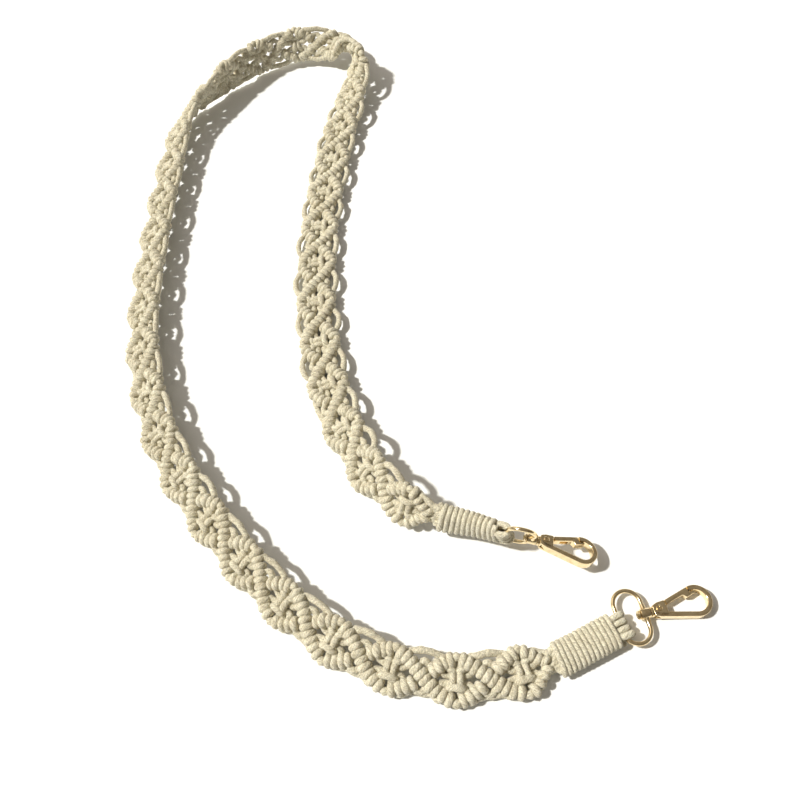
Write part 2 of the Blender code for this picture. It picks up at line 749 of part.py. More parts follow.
def lean_frame(origin, heading, pitch, lean):
    """A frame with X along the swivel and Y leaning up from the floor."""
    level = math.radians(heading)
    tilt = math.radians(pitch)
    along = Vector((math.cos(tilt) * math.cos(level), math.cos(tilt) * math.sin(level), math.sin(tilt)))
    left = Vector((0, 0, 1)).cross(along).normalized()
    up = along.cross(left)
    side = math.cos(math.radians(lean)) * left + math.sin(math.radians(lean)) * up
    third = along.cross(side)
    frame = Matrix((along, side, third)).transposed().to_4x4()
    frame.translation = origin
    return frame


def make_end(course, end, clasp):
    """All the pieces at one end of the strap."""
    name = end["name"]
    bar = end_reader(course, name)(0.0, 0.0, 0.0)
    ring_frame = lean_frame(bar, end["heading"], end["pitch"], end["ring_lean"])
    slid = bar + ring_frame.col[1].to_3d() * end["slide"] * RING_WIDTH
    ring_frame.translation = slid
    make_wrap(course, name)
    make_anchor(course, name, ring_frame)
    make_ring(name, ring_frame)
    boss = slid + ring_frame.col[0].to_3d() * (RING_DEPTH - RING_WIRE)
    hook_frame = lean_frame(boss, end["heading"], end["pitch"], end["hook_lean"])
    make_hook(name, clasp, hook_frame)
    make_gate(name, clasp, hook_frame)
    make_rivet(name, clasp, hook_frame)


def stand_on_floor():
    """Move everything so that the origin is under the middle, on the floor."""
    bpy.context.view_layer.update()
    corners = [obj.matrix_world @ vertex.co for obj in bpy.data.objects for vertex in obj.data.vertices]
    lows = [min(corner[axis] for corner in corners) for axis in range(3)]
    highs = [max(corner[axis] for corner in corners) for axis in range(3)]
    shift = Vector((-(lows[0] + highs[0]) / 2, -(lows[1] + highs[1]) / 2, -lows[2]))
    for obj in bpy.data.objects:
        obj.matrix_world = Matrix.Translation(shift) @ obj.matrix_world
    bpy.context.view_layer.update()


def smooth_rounds():
    """Shade the round pieces smooth, with their edges kept."""
    for obj in bpy.data.objects:
        obj.data.shade_smooth()
        obj.data.set_sharp_from_angle(angle=math.radians(SHARP_ANGLE))


def main():
    clear_scene()
    course = Course()
    clasp = Clasp()
    make_band(course)
    for end in rows_of(END_COLUMNS, ENDS):
        make_end(course, end, clasp)
    stand_on_floor()
    smooth_rounds()


main()
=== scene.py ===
# %% [markdown]
# A knotted cotton crossbody strap
#
# The strap is six cotton cords tied into a chain of diamonds, with a wrapped end
# and a gold snap hook at each side. The imported model gives the places; this lesson
# gives the looks. Every length is in metres, in the imported model's own frame.

# %% Load the imported model
import json
import math

import bmesh
import bpy
import numpy as np
from mathutils import Matrix, Vector


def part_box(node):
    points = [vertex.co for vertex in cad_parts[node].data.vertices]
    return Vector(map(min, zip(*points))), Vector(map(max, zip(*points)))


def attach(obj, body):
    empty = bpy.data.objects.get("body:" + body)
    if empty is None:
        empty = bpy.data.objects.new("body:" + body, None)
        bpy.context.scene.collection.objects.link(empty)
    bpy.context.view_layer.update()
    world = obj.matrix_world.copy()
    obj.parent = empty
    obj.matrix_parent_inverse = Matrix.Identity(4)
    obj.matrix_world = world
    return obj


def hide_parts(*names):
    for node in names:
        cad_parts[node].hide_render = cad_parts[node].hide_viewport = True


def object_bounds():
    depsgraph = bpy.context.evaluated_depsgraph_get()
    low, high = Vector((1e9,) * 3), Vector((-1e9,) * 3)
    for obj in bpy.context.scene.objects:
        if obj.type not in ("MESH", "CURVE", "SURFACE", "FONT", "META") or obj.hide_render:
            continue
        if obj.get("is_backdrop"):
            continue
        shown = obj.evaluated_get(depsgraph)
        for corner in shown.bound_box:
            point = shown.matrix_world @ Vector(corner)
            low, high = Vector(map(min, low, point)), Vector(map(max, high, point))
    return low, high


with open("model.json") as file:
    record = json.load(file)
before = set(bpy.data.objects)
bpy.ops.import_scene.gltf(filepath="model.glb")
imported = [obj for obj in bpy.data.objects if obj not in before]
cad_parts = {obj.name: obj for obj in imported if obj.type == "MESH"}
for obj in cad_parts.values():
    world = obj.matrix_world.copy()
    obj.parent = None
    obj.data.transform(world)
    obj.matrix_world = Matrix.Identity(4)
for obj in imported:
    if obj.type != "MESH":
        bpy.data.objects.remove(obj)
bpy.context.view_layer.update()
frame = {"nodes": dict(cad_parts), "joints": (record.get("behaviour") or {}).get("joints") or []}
MM = 0.001

# %% [markdown]
# The route of the band
#
# A real strap is laid down by hand, so its line on the table has no formula. It is a
# short list of stations instead: the place, how far the band has rolled about its own
# line, and how far it stands above its natural rest. A smooth spline joins them. The
# list repeats the one of the solids, so that the cords lie where the solids lie.

# %% Stations of the route
STRAP_LENGTH = 1130 * MM
BAND_WIDTH = 23.2 * MM
BAND_THICKNESS = 6.4 * MM
PICOT_STAND = 0.8 * MM
CORD = 3.2 * MM
EDGE_HEIGHT = 0.46
WIDEST_KNOT = 0.76
COURSE = (
    (0.0444, -0.1428, -96, 0.00), (0.0311, -0.1356, -80, -0.10), (0.0188, -0.1308, -64, -0.04),
    (0.0107, -0.1265, -56, 0.00), (0.0033, -0.1215, -50, 0.00), (-0.0046, -0.1121, -42, 0.00),
    (-0.0120, -0.0985, -31, 0.00), (-0.0178, -0.0830, -22, 0.00), (-0.0220, -0.0672, -14, 0.00),
    (-0.0253, -0.0488, -8, 0.00), (-0.0272, -0.0275, -4, 0.00), (-0.0274, 0.0040, -2, 0.00),
    (-0.0242, 0.0385, -2, 0.00), (-0.0199, 0.0665, -3, 0.00), (-0.0129, 0.0977, -5, 0.00),
    (-0.0042, 0.1305, -10, 0.00), (0.0025, 0.1503, -19, 0.00), (0.0082, 0.1666, -30, 0.00),
    (0.0122, 0.1780, -48, 0.04), (0.0124, 0.1880, -92, 0.09), (0.0073, 0.1988, -155, 0.32),
    (-0.0035, 0.2055, -212, 0.16), (-0.0207, 0.2090, -240, 0.03), (-0.0393, 0.2062, -250, 0.00),
    (-0.0571, 0.1975, -260, 0.00), (-0.0728, 0.1848, -274, 0.00), (-0.0870, 0.1704, -296, 0.00),
    (-0.0984, 0.1545, -317, 0.00), (-0.1046, 0.1333, -329, 0.00), (-0.1099, 0.1007, -334, 0.00),
    (-0.1149, 0.0600, -334, 0.00), (-0.1181, 0.0242, -334, 0.00), (-0.1183, -0.0089, -334, 0.00),
    (-0.1145, -0.0403, -334, 0.00), (-0.1071, -0.0680, -334, 0.00), (-0.0960, -0.0933, -335, 0.00),
    (-0.0812, -0.1185, -336, 0.00), (-0.0645, -0.1424, -336, 0.00), (-0.0451, -0.1645, -337, 0.00),
    (-0.0240, -0.1820, -339, 0.00), (-0.0065, -0.1915, -341, 0.00), (0.0128, -0.1972, -343, 0.00),
    (0.0325, -0.1988, -346, 0.00), (0.0467, -0.1975, -351, 0.00), (0.0599, -0.1943, -357, 0.03),
    (0.0731, -0.1898, -360, 0.05), (0.0842, -0.1862, -360, 0.05),
)


def rest_height(roll):
    """Height of the middle of the band when its edge or its knots touch the table."""
    rise, flat = abs(math.sin(roll)), abs(math.cos(roll))
    picot = (BAND_WIDTH / 2 + PICOT_STAND + CORD / 2) * rise + EDGE_HEIGHT * BAND_THICKNESS / 2 * flat
    knots = WIDEST_KNOT * BAND_WIDTH / 2 * rise + BAND_THICKNESS / 2 * flat
    return max(picot, knots)


# %% [markdown]
# A natural cubic spline passes through every station and bends as little as it can,
# as a soft band does. From it come, at any place s along the band, a point, the
# direction of travel, the way to the outer edge (v) and the way out of the front (w).

# %% The course as a frame at every place
def lengths_along(points):
    """The length travelled on the way to each point."""
    return np.concatenate(([0.0], np.cumsum(np.linalg.norm(np.diff(points, axis=0), axis=1))))


class Course:
    SAMPLES = 4000

    def __init__(self):
        knots = []
        for x, y, degrees, rise in COURSE:
            roll = math.radians(degrees)
            height = rest_height(roll) + rise * BAND_WIDTH
            knots.append((x * STRAP_LENGTH, y * STRAP_LENGTH, height, roll))
        knots = np.array(knots)
        places = lengths_along(knots[:, :2])
        steps = np.diff(places)
        slopes = np.diff(knots, axis=0) / steps[:, None]
        count = len(places)
        matrix = np.eye(count)
        right = np.zeros_like(knots)
        for row in range(1, count - 1):
            step, after = steps[row - 1], steps[row]
            matrix[row, row - 1:row + 2] = (step, 2 * (step + after), after)
            right[row] = 6 * (slopes[row] - slopes[row - 1])
        bend = np.linalg.solve(matrix, right)
        at = np.linspace(0, places[-1], self.SAMPLES)
        low = np.clip(np.searchsorted(places, at, side="right") - 1, 0, count - 2)
        step = steps[low][:, None]
        after = (at - places[low])[:, None] / step
        before = 1 - after
        curve = (before ** 3 - before) * bend[low] + (after ** 3 - after) * bend[low + 1]
        self.samples = before * knots[low] + after * knots[low + 1] + curve * step ** 2 / 6
        self.lengths = lengths_along(self.samples[:, :3])
        self.length = float(self.lengths[-1])
        self.shift = Vector((0, 0, 0))

    def read(self, s):
        return [float(np.interp(s, self.lengths, self.samples[:, column])) for column in range(4)]

    def frame(self, s):
        """Point, direction, outer way and front way at s, carried straight on past the ends."""
        held = min(max(s, 0.0), self.length)
        reach = STRAP_LENGTH / self.SAMPLES * 2
        before = self.read(max(held - reach, 0.0))
        after = self.read(min(held + reach, self.length))
        x, y, z, roll = self.read(held)
        along = (Vector(after[:3]) - Vector(before[:3])).normalized()
        left = Vector((0, 0, 1)).cross(along).normalized()
        up = along.cross(left)
        outer = -(math.cos(roll) * left + math.sin(roll) * up)
        front = -math.sin(roll) * left + math.cos(roll) * up
        return Vector((x, y, z)) + along * (s - held) + self.shift, along, outer, front

    def place(self, s, v, w):
        point, _, outer, front = self.frame(s)
        return point + outer * v + front * w


course = Course()
print("strap from ring to ring, mm:", round(course.length / MM, 1))

# %% [markdown]
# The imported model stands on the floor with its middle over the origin, so the course
# has to be moved once. The wrapped end tells how far: the lowest corner of its packed
# solid is compared with the same corner worked out here.

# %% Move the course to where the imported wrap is
RING_WIRE = 2.1 * MM
FIT_GAP = 0.3 * MM
WRAP_LENGTH = 30 * MM
WRAP_WIDTH = 16.6 * MM
WRAP_THICKNESS = 9.4 * MM
WRAP_CORD = 2.5 * MM
WRAP_GROOVE = 0.55 * MM
WRAP_SIDES = 12
OVAL_POWER = 2.6
wrap_start = RING_WIRE / 2 + FIT_GAP + CORD
band_start = wrap_start + WRAP_LENGTH + FIT_GAP
band_run = course.length - 2 * band_start


def oval(half_width, half_thickness, angle):
    """A point of a rounded oval, as (v, w)."""
    across, up = math.cos(angle), math.sin(angle)
    return (half_width * math.copysign(abs(across) ** (2 / OVAL_POWER), across),
            half_thickness * math.copysign(abs(up) ** (2 / OVAL_POWER), up))


def wrap_corner(place):
    """The lowest x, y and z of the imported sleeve, which is grooved in every other row."""
    rows = 2 * round(WRAP_LENGTH / WRAP_CORD) + 1
    points = []
    for row in range(rows):
        depth = WRAP_GROOVE if row % 2 == 0 else 0.0
        size = WRAP_WIDTH / 2 - depth, WRAP_THICKNESS / 2 - depth
        points.extend(place(wrap_start + WRAP_LENGTH * row / (rows - 1),
                            *oval(*size, math.tau * side / WRAP_SIDES)) for side in range(WRAP_SIDES))
    return Vector([min(p[axis] for p in points) for axis in range(3)])


course.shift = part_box("wrap_a")[0] - wrap_corner(course.place)
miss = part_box("wrap_b")[0] - wrap_corner(lambda s, v, w: course.place(course.length - s, v, w))
print("course moved by, mm:", [round(v / MM, 2) for v in course.shift])
print("the other end misses by, mm:", miss.length / MM)

# %% [markdown]
# Recipes made of nodes
#
# Materials and Geometry Nodes are both trees of nodes, so one small helper serves them
# all. It adds a node, puts plain values in its sockets and links the rest. What it
# gives back can be added, subtracted and multiplied, which adds the math nodes.

# %% A helper for node trees
class Out:
    """A node's output; sums, differences and products of it become math nodes."""

    def __init__(self, net, socket):
        self.net, self.socket = net, socket

    def __add__(self, other):
        return self.net.math("ADD", self, other)

    def __sub__(self, other):
        return self.net.math("SUBTRACT", self, other)

    def __mul__(self, other):
        return self.net.math("MULTIPLY", self, other)


class Net:
    def __init__(self, tree):
        self.tree = tree

    def fill(self, node, sockets):
        """Put values or outputs in a node's sockets, which are given by name or number."""
        for socket, value in sockets.items():
            if isinstance(value, Out):
                self.tree.links.new(value.socket, node.inputs[socket])
            else:
                node.inputs[socket].default_value = value

    def add(self, kind, *values, output=0, **named):
        """Add a node. Values fill its sockets in order; so does a name with a capital
        letter, by name, and other names are the node's settings."""
        node = self.tree.nodes.new(kind)
        sockets = dict(enumerate(values))
        for key, value in named.items():
            if key[0].isupper():
                sockets[key.replace("_", " ")] = value
            else:
                setattr(node, key, value)
        self.fill(node, sockets)
        return Out(self, node.outputs[output])

    def math(self, operation, *values):
        return self.add("ShaderNodeMath", *values, operation=operation)

    def vector(self, operation, *values, **named):
        return self.add("ShaderNodeVectorMath", *values, operation=operation, **named)

    def combine(self, *values):
        return self.add("ShaderNodeCombineXYZ", *values)

    def noise(self, place, scale, detail, **named):
        return self.add("ShaderNodeTexNoise", Vector=place, Scale=scale, Detail=detail, **named)

    def mapped(self, value, from_low, from_high, to_low, to_high, **named):
        return self.add("ShaderNodeMapRange", Value=value, From_Min=from_low, From_Max=from_high,
                        To_Min=to_low, To_Max=to_high, **named)

    def ramp(self, value, *stops):
        colour = self.add("ShaderNodeValToRGB", Fac=value)
        for element, stop in zip(colour.socket.node.color_ramp.elements, stops):
            element.position, element.color = stop
        return colour

    def bump(self, height, strength, distance, **named):
        return self.add("ShaderNodeBump", Height=height, Strength=strength, Distance=distance, **named)


def finish(name, recipe):
    """A material whose main shader is filled by a recipe."""
    material = bpy.data.materials.new(name)
    material.use_nodes = True
    net = Net(material.node_tree)
    net.fill(material.node_tree.nodes["Principled BSDF"], recipe(net))
    print("finish:", name)
    return material


# %% [markdown]
# Finishes
#
# The cords are soft unbleached cotton, spun from many fine fibres with a slow twist.
# Two attributes that every cord carries feed the material: "around", a point on the
# unit circle, and "along", the length from the cord's end. Noise that is stretched
# along the cord and turned with it gives the fibres and their grooves, and sheen gives
# the soft edge. The grooves get a darker colour, which is partly the fibres' own tone
# and partly painted shade.

# %% Cotton for the cords
COTTON = (0.87, 0.83, 0.67, 1.0)
# A darker colour for the fibre grooves: partly the fibres' own tone, partly painted shade.
COTTON_FIBRE_AND_GROOVE_SHADE = (0.46, 0.41, 0.29, 1.0)
COTTON_SOILED = (0.80, 0.76, 0.68, 1.0)
WHITE = (1.0, 1.0, 1.0, 1.0)
FIBRE_TWIST = 2 * math.pi / (9 * MM)
FIBRE_STRETCH = 1 / (1.6 * MM)
FIBRES_ROUND = (2.8, 2.8, 1.0)
PATCH_SCALE = 60.0
FUZZ_SCALE = 1500.0


def cotton_recipe(net):
    around = net.add("ShaderNodeAttribute", output="Vector", attribute_name="around")
    along = net.add("ShaderNodeAttribute", output="Fac", attribute_name="along")
    twisted = net.add("ShaderNodeVectorRotate", Vector=around, Angle=along * FIBRE_TWIST,
                      rotation_type="Z_AXIS")
    lift = net.combine(0.0, 0.0, along * FIBRE_STRETCH)
    fibre = net.vector("MULTIPLY_ADD", twisted, FIBRES_ROUND, lift)
    streaks = net.noise(fibre, 1.0, 4.0, Roughness=0.6)
    place = net.add("ShaderNodeTexCoord", output="Object")
    patches = net.noise(place, PATCH_SCALE, 3.0)
    fuzz = net.noise(place, FUZZ_SCALE, 2.0)
    # The fibre noise runs from the darker groove colour to plain cotton: partly fibre tone, partly
    # painted shade.
    tone = net.add("ShaderNodeMix", data_type="RGBA", blend_type="MULTIPLY", output="Result",
                   Factor=0.35, A=net.ramp(streaks, (0.30, COTTON_FIBRE_AND_GROOVE_SHADE), (0.60, COTTON)),
                   B=net.ramp(patches, (0.32, COTTON_SOILED), (0.62, WHITE)))
    grain = net.mapped(fuzz, 0.36, 0.62, 0.72, 1.10)
    strands = net.bump(streaks, 1.0, 0.6 * MM)
    return {"Base Color": net.vector("SCALE", tone, Scale=grain),
            "Normal": net.bump(fuzz, 0.6, 0.3 * MM, Normal=strands),
            "Roughness": 0.92, "Specular IOR Level": 0.12, "Sheen Weight": 0.25,
            "Sheen Roughness": 0.5, "Subsurface Weight": 0.08, "Subsurface Scale": 1.0,
            "Subsurface Radius": (0.0012, 0.0009, 0.0006)}


cotton = finish("unbleached cotton", cotton_recipe)

# %% [markdown]
# The metal is pale gold plating, polished but not a mirror: fine scratches catch the
# light, and the colour is a little deeper in patches spread at random.

# %% Pale gold for the hooks
GOLD = (0.93, 0.77, 0.49, 1.0)
GOLD_DEEP = (0.76, 0.58, 0.32, 1.0)
WEAR_SCALE = 420.0


def gold_recipe(net):
    place = net.add("ShaderNodeTexCoord", output="Object")
    wear = net.noise(place, WEAR_SCALE, 5.0)
    return {"Base Color": net.ramp(wear, (0.25, GOLD_DEEP), (0.55, GOLD)),
            "Roughness": net.mapped(wear, 0.0, 1.0, 0.10, 0.24), "Metallic": 1.0,
            "Normal": net.bump(net.noise(place, FUZZ_SCALE, 2.0), 0.06, 0.1 * MM)}


gold = finish("pale gold plating", gold_recipe)

# %% [markdown]
# Cord lines
#
# Knots are made of lines before they are made of cords. Each line is a list of points
# in a flat band: s along it, v across it, w out of its front, all in millimetres. A
# smooth curve through a few chosen points is cut into even short steps, and each
# point also keeps the cord's radius there and how loose the cord is.

# %% A smooth line through chosen points
STEP = 0.85
FINE_STEP = 0.1


def smooth_line(points):
    """Points (s, v, w, radius, loose) through the chosen ones, in even steps."""
    points = np.array(points, float)
    ends = np.vstack((2 * points[0] - points[1], points, 2 * points[-1] - points[-2]))
    fine = []
    for index in range(len(points) - 1):
        before, here, there, after = ends[index:index + 4]
        gap = np.linalg.norm(there[:3] - here[:3])
        for t in np.linspace(0, 1, max(2, int(gap / FINE_STEP)), endpoint=False):
            fine.append(0.5 * (2 * here + (there - before) * t
                               + (2 * before - 5 * here + 4 * there - after) * t ** 2
                               + (3 * here - before - 3 * there + after) * t ** 3))
    fine = np.array(fine + [points[-1]])
    travelled = lengths_along(fine[:, :3])
    even = np.linspace(0, travelled[-1], max(3, round(travelled[-1] / STEP) + 1))
    return np.column_stack([np.interp(even, travelled, column) for column in fine.T])


def new_object(name, mesh):
    obj = bpy.data.objects.new(name, mesh)
    bpy.context.scene.collection.objects.link(obj)
    return obj


def edge_object(name, points, edges, **values):
    """A mesh of edges with values at its points, for Geometry Nodes to use."""
    mesh = bpy.data.meshes.new(name)
    mesh.from_pydata(points, edges, [])
    for key, column in values.items():
        column = np.array(column, np.float32)
        kind, field = ("FLOAT_VECTOR", "vector") if column.ndim == 2 else ("FLOAT", "value")
        mesh.attributes.new(key, kind, "POINT").data.foreach_set(field, column.ravel())
    obj = new_object(name, mesh)
    obj.hide_render = True
    return obj


def line_object(name, lines):
    points, edges, radius, loose = [], [], [], []
    for line in lines:
        base = len(points)
        edges.extend((base + i, base + i + 1) for i in range(len(line) - 1))
        points.extend(line[:, :3] * MM)
        radius.extend(line[:, 3] * MM)
        loose.extend(line[:, 4])
    return edge_object(name, points, edges, radius=radius, loose=loose)

# %% [markdown]
# The rows of a diamond
#
# A diamond is bordered by rows of double half hitches: a holding cord runs along the
# row, and two cords are each wound twice over its front. Between its two winds each
# cord crosses slantwise behind the row, and these fat slants are the ovals that cover
# the back of the strap. One row runs unbroken from
# the inner edge through the crossing to the outer edge; the other is interrupted
# there, where its holding cord is itself tied over the first. The rows are bowed like
# a sine curve, steep at the crossing and level at the edge.

# %% Rows and the hitches on them
DIAMOND_PITCH = 30.2 * MM
diamonds = round(band_run / DIAMOND_PITCH)
pitch = band_run / diamonds / MM
ROW_REACH = 9.0
HITCH_WIDE = 2.05
HITCH_DEEP = 1.85
HITCH_CORD = 1.68
HITCH_PLUMP = 1.14
BACK_PLUMP = 1.28
CORE_CORD = 1.3
FREE_CORD = 1.65
ENTRY_OUT = 2.9
EXIT_OUT = 2.7
ROW_BOW = 0.8
ROW_POINTS = 401
ROW_REST = 0.2
WIND_POINTS = 27
WIND_TURNS = (0.14, 2.40)
WIND_PLACES = ((0.14, 0.5, 1.0, 1.5, 2.0, 2.4), (-0.3, 0.0, 0.0, 1.0, 1.0, 0.95))


class Row:
    """A row through a crossing at the origin; sense is 1 if unbroken and -1 if not."""

    def __init__(self, sense):
        self.sense = sense
        self.s = np.linspace(-pitch / 2, pitch / 2, ROW_POINTS)
        way = self.s / pitch
        self.v = sense * ROW_REACH * (ROW_BOW * np.sin(math.pi * way) + (1 - ROW_BOW) * 2 * way)
        lengths = lengths_along(np.column_stack((self.s, self.v)))
        self.x = lengths - lengths[-1] / 2
        self.reach = float(self.x[-1])

    def spot(self, x, side, w, radius=HITCH_CORD, loose=0.0):
        """A point beside the row: x along it, side toward where the cords come from."""
        inside = float(np.clip(x, self.x[0] + ROW_REST, self.x[-1] - ROW_REST))
        before, here, after = (
            np.array((np.interp(near, self.x, self.s), np.interp(near, self.x, self.v)))
            for near in (inside - ROW_REST, inside, inside + ROW_REST))
        along = (after - before) / np.linalg.norm(after - before)
        way = np.array((-along[1], along[0])) * self.sense
        s, v = here + along * (x - inside) + way * side
        return (s, v, w, radius, loose)

    def hitch(self, first, second, swell=(1.0, 1.0)):
        """Two winds over the holding cord: in behind it on one side, out between the winds."""
        gap = second - first
        points = [self.spot(first - 0.15 * gap, ENTRY_OUT, -0.75)]
        plump = (1, HITCH_PLUMP * swell[0], 1, BACK_PLUMP, 1, HITCH_PLUMP * swell[1], 1)
        for turn in np.linspace(*WIND_TURNS, WIND_POINTS):
            x = first + np.interp(turn, *WIND_PLACES) * gap
            angle = -2 * math.pi * turn
            fat = np.interp(turn, (0.45, 0.75, 1.03, 1.25, 1.47, 1.75, 2.05), plump)
            lift = (fat - 1) * HITCH_CORD * math.copysign(1, math.sin(angle))
            w = HITCH_DEEP * math.sin(angle) + lift
            points.append(self.spot(x, HITCH_WIDE * math.cos(angle), w, HITCH_CORD * fat))
        points.append(self.spot(first + 0.8 * gap, -EXIT_OUT, -0.65))
        return points


unbroken = Row(1)
broken = Row(-1)
print("diamonds:", diamonds, "pitch, mm:", round(pitch, 2), "row, mm:", round(unbroken.reach, 2))

# %% [markdown]
# Where each cord is tied
#
# The table gives, for each kind of row, where the two winds of each cord lie, measured
# from the crossing. The inner cord (b) is tied nearest to the crossing and the outer
# cord (a) at the edge, where it then stands off as the picot loop to the next diamond.

# %% Places of the hitches
UNBROKEN_TIES = {"b": (4.9, 8.2), "a": (11.5, 14.8)}
BROKEN_TIES = {"b": (5.6, 8.8), "a": (11.9, 15.0)}
CROSSING_TIE = (-1.65, 1.65)
PICOT = ((0.0, 12.3, 0.3, 1.0), (3.2, 12.0, 0.2, 1.0), (6.0, 10.9, -0.2, 0.6))
INNER_STRAND = ((0.0, 6.9, -0.3, 0.0),)


def shifted(points, far):
    return [(far + s, v, w, radius, loose) for s, v, w, radius, loose in points]


def tie(row, pair, from_far, swell=(1.0, 1.0)):
    """The hitch on an arm that leaves this crossing, or on one that comes to the next."""
    if not from_far:
        return row.hitch(*pair, swell)
    return shifted(row.hitch(-pair[1], -pair[0], swell), pitch)


def strand(table, side, back):
    """A free strand's points before the first hitch, or after the last one."""
    points = [(pitch - s if back else s, side * v, w, FREE_CORD, loose) for s, v, w, loose in table]
    return points[::-1] if back else points


# %% [markdown]
# The square knot in the middle
#
# Two cords fill the knot and run straight through. A third lies across them twice, as
# the two bars that show, and the fourth goes behind them and stands up beside the
# bars as one long bump. On some diamonds that bump is on the inner side, on others on
# the outer side, as the maker's hands happened to start.

# %% Cords of the square knot
FRONT_CORD = (
    (-3.6, 5.0, -0.7, 1.6), (-2.3, 3.3, 0.4, 1.6), (-1.75, 1.5, 1.3, 1.65), (-1.6, -0.6, 1.6, 1.65),
    (-1.6, -2.4, 1.2, 1.6), (-1.9, -3.7, 0.1, 1.6), (-1.5, -4.7, -1.0, 1.6), (0.0, -4.9, -1.3, 1.6))
BACK_CORD = (
    (-3.6, -4.7, 0.0, 1.6), (-2.6, -4.4, 1.2, 1.6), (-1.6, -4.2, 1.2, 1.5), (-0.9, -3.5, 0.2, 1.4),
    (-0.9, -2.6, -1.1, 1.4), (-1.2, -1.2, -1.9, 1.5), (-1.7, 1.4, -1.9, 1.6), (-2.8, 3.5, -1.0, 1.6),
    (-3.4, 3.9, 0.3, 1.6), (-2.8, 3.5, 1.6, 1.7), (-1.5, 3.2, 2.2, 1.8), (0.0, 3.1, 2.3, 1.8))
FILLER = ((-5.6, 2.0, -0.9, 1.7), (-3.0, 1.7, -0.7, 1.7), (0.0, 1.6, -0.6, 1.7))


def through_knot(half, side):
    """Both halves of a cord's way through the knot, which is the same forwards and back."""
    middle = pitch / 2
    first = [(middle + s, side * v, w, radius, 0.0) for s, v, w, radius in half]
    last = [(middle - s, side * v, w, radius, 0.0) for s, v, w, radius in half[:-1]]
    return first + last[::-1]


def diamond_lines(bump):
    """The four cords that are tied in one diamond; bump is 1 for the outer side."""
    lines = []
    for side in (1, -1):
        near, near_ties = (unbroken, UNBROKEN_TIES) if side == 1 else (broken, BROKEN_TIES)
        far, far_ties = (broken, BROKEN_TIES) if side == 1 else (unbroken, UNBROKEN_TIES)
        middles = {"a": through_knot(FRONT_CORD if side == bump else BACK_CORD, bump),
                   "b": through_knot(FILLER, side)}
        for cord, table in (("a", PICOT), ("b", INNER_STRAND)):
            swell = (1.0, 1.22) if cord == "b" and side == -1 else (1.0, 1.0)
            points = strand(table, side, back=False)
            points += tie(near, near_ties[cord], False, swell)
            points += middles[cord]
            points += tie(far, far_ties[cord], True)
            points += strand(table, side, back=True)
            lines.append(smooth_line(points))
    return lines


# %% [markdown]
# The holding cords
#
# At each edge the two holding cords meet and change direction: the one that came out
# along a row goes back in along the next. That turn is bare cord, and it shows as a
# fat round bead between the winds of the two rows.

# %% Holding cords through a crossing
BEAD_OUT = 1.0
BEAD_LIFT = 1.0
BEAD = 2.2
BEAD_LENGTH = 2.4
ARM_START = 4.0
ARM_POINTS = 22


def holding_line(row, middle):
    """A holding cord from edge to edge, with the bead's half at both ends."""
    arm = []
    for x in np.linspace(row.reach, ARM_START, ARM_POINTS):
        s, v, _, _, _ = row.spot(x, 0.0, 0.0)
        near = min(max((x - row.reach + BEAD_LENGTH) / BEAD_LENGTH, 0.0), 1.0)
        near = near * near * (3 - 2 * near)
        arm.append((s, v + math.copysign(BEAD_OUT, v) * near, BEAD_LIFT * near,
                    CORE_CORD + (BEAD - CORE_CORD) * near, 0.0))
    first = [(-s, -v, w, radius, loose) for s, v, w, radius, loose in arm]
    return smooth_line(first + middle + arm[::-1])


def crossing_lines():
    return [holding_line(unbroken, []), holding_line(broken, broken_tie())]


def broken_tie():
    """The interrupted holding cord, tied over the front of the unbroken one."""
    return unbroken.hitch(*CROSSING_TIE)[1:-1]


# %% [markdown]
# Both ends of the band run into the wraps. There the two holding cords simply come
# together, and every cord carries on a little way inside, where the wrap grips it.

# %% Cords that run into a wrap
TAIL = 9.0
TAIL_POINTS = 9
END_NARROWS = 0.42
END_LENGTH = 0.45 * pitch
TAIL_ROWS = ((12.3, 0.3, 10.5, 0.0), (6.9, -0.3, 6.3, 1.0), (1.6, 0.0, 2.4, -1.0))


def end_lines():
    lines = []
    for side in (1, -1):
        for v, w, v_in, w_in in TAIL_ROWS:
            way = ((-TAIL, v_in, w_in), (-TAIL / 2, v_in, w_in), (0.0, v, w))
            points = [(s, side * across, out, HITCH_CORD, 0.0) for s, across, out in way]
            if v == TAIL_ROWS[-1][0]:
                row = unbroken if side == 1 else broken
                points += [row.spot(x, 0.0, 0.0, CORE_CORD)
                           for x in np.linspace(ARM_START, row.reach - BEAD_LENGTH, TAIL_POINTS)]
                points.append((pitch / 2, side * (ROW_REACH + BEAD_OUT), BEAD_LIFT, BEAD, 0.0))
            lines.append(smooth_line(points))
    return lines


patterns = {
    "bump inside": line_object("lines_bump_inside", diamond_lines(-1)),
    "bump outside": line_object("lines_bump_outside", diamond_lines(1)),
    "crossing": line_object("lines_crossing", crossing_lines()),
    "end": line_object("lines_end", end_lines()),
}
print("points:", {name: len(obj.data.vertices) for name, obj in patterns.items()})

# %% [markdown]
# Geometry Nodes in a few words
#
# A geometry tree is the same helper with named inputs and a few ways of its own: to
# take a place apart, to read and keep a value at each point, and to sweep a section.
# The trees repeat a set of lines at an even pitch, lay any lines along the route as
# cords, and sweep the wire of the rings.

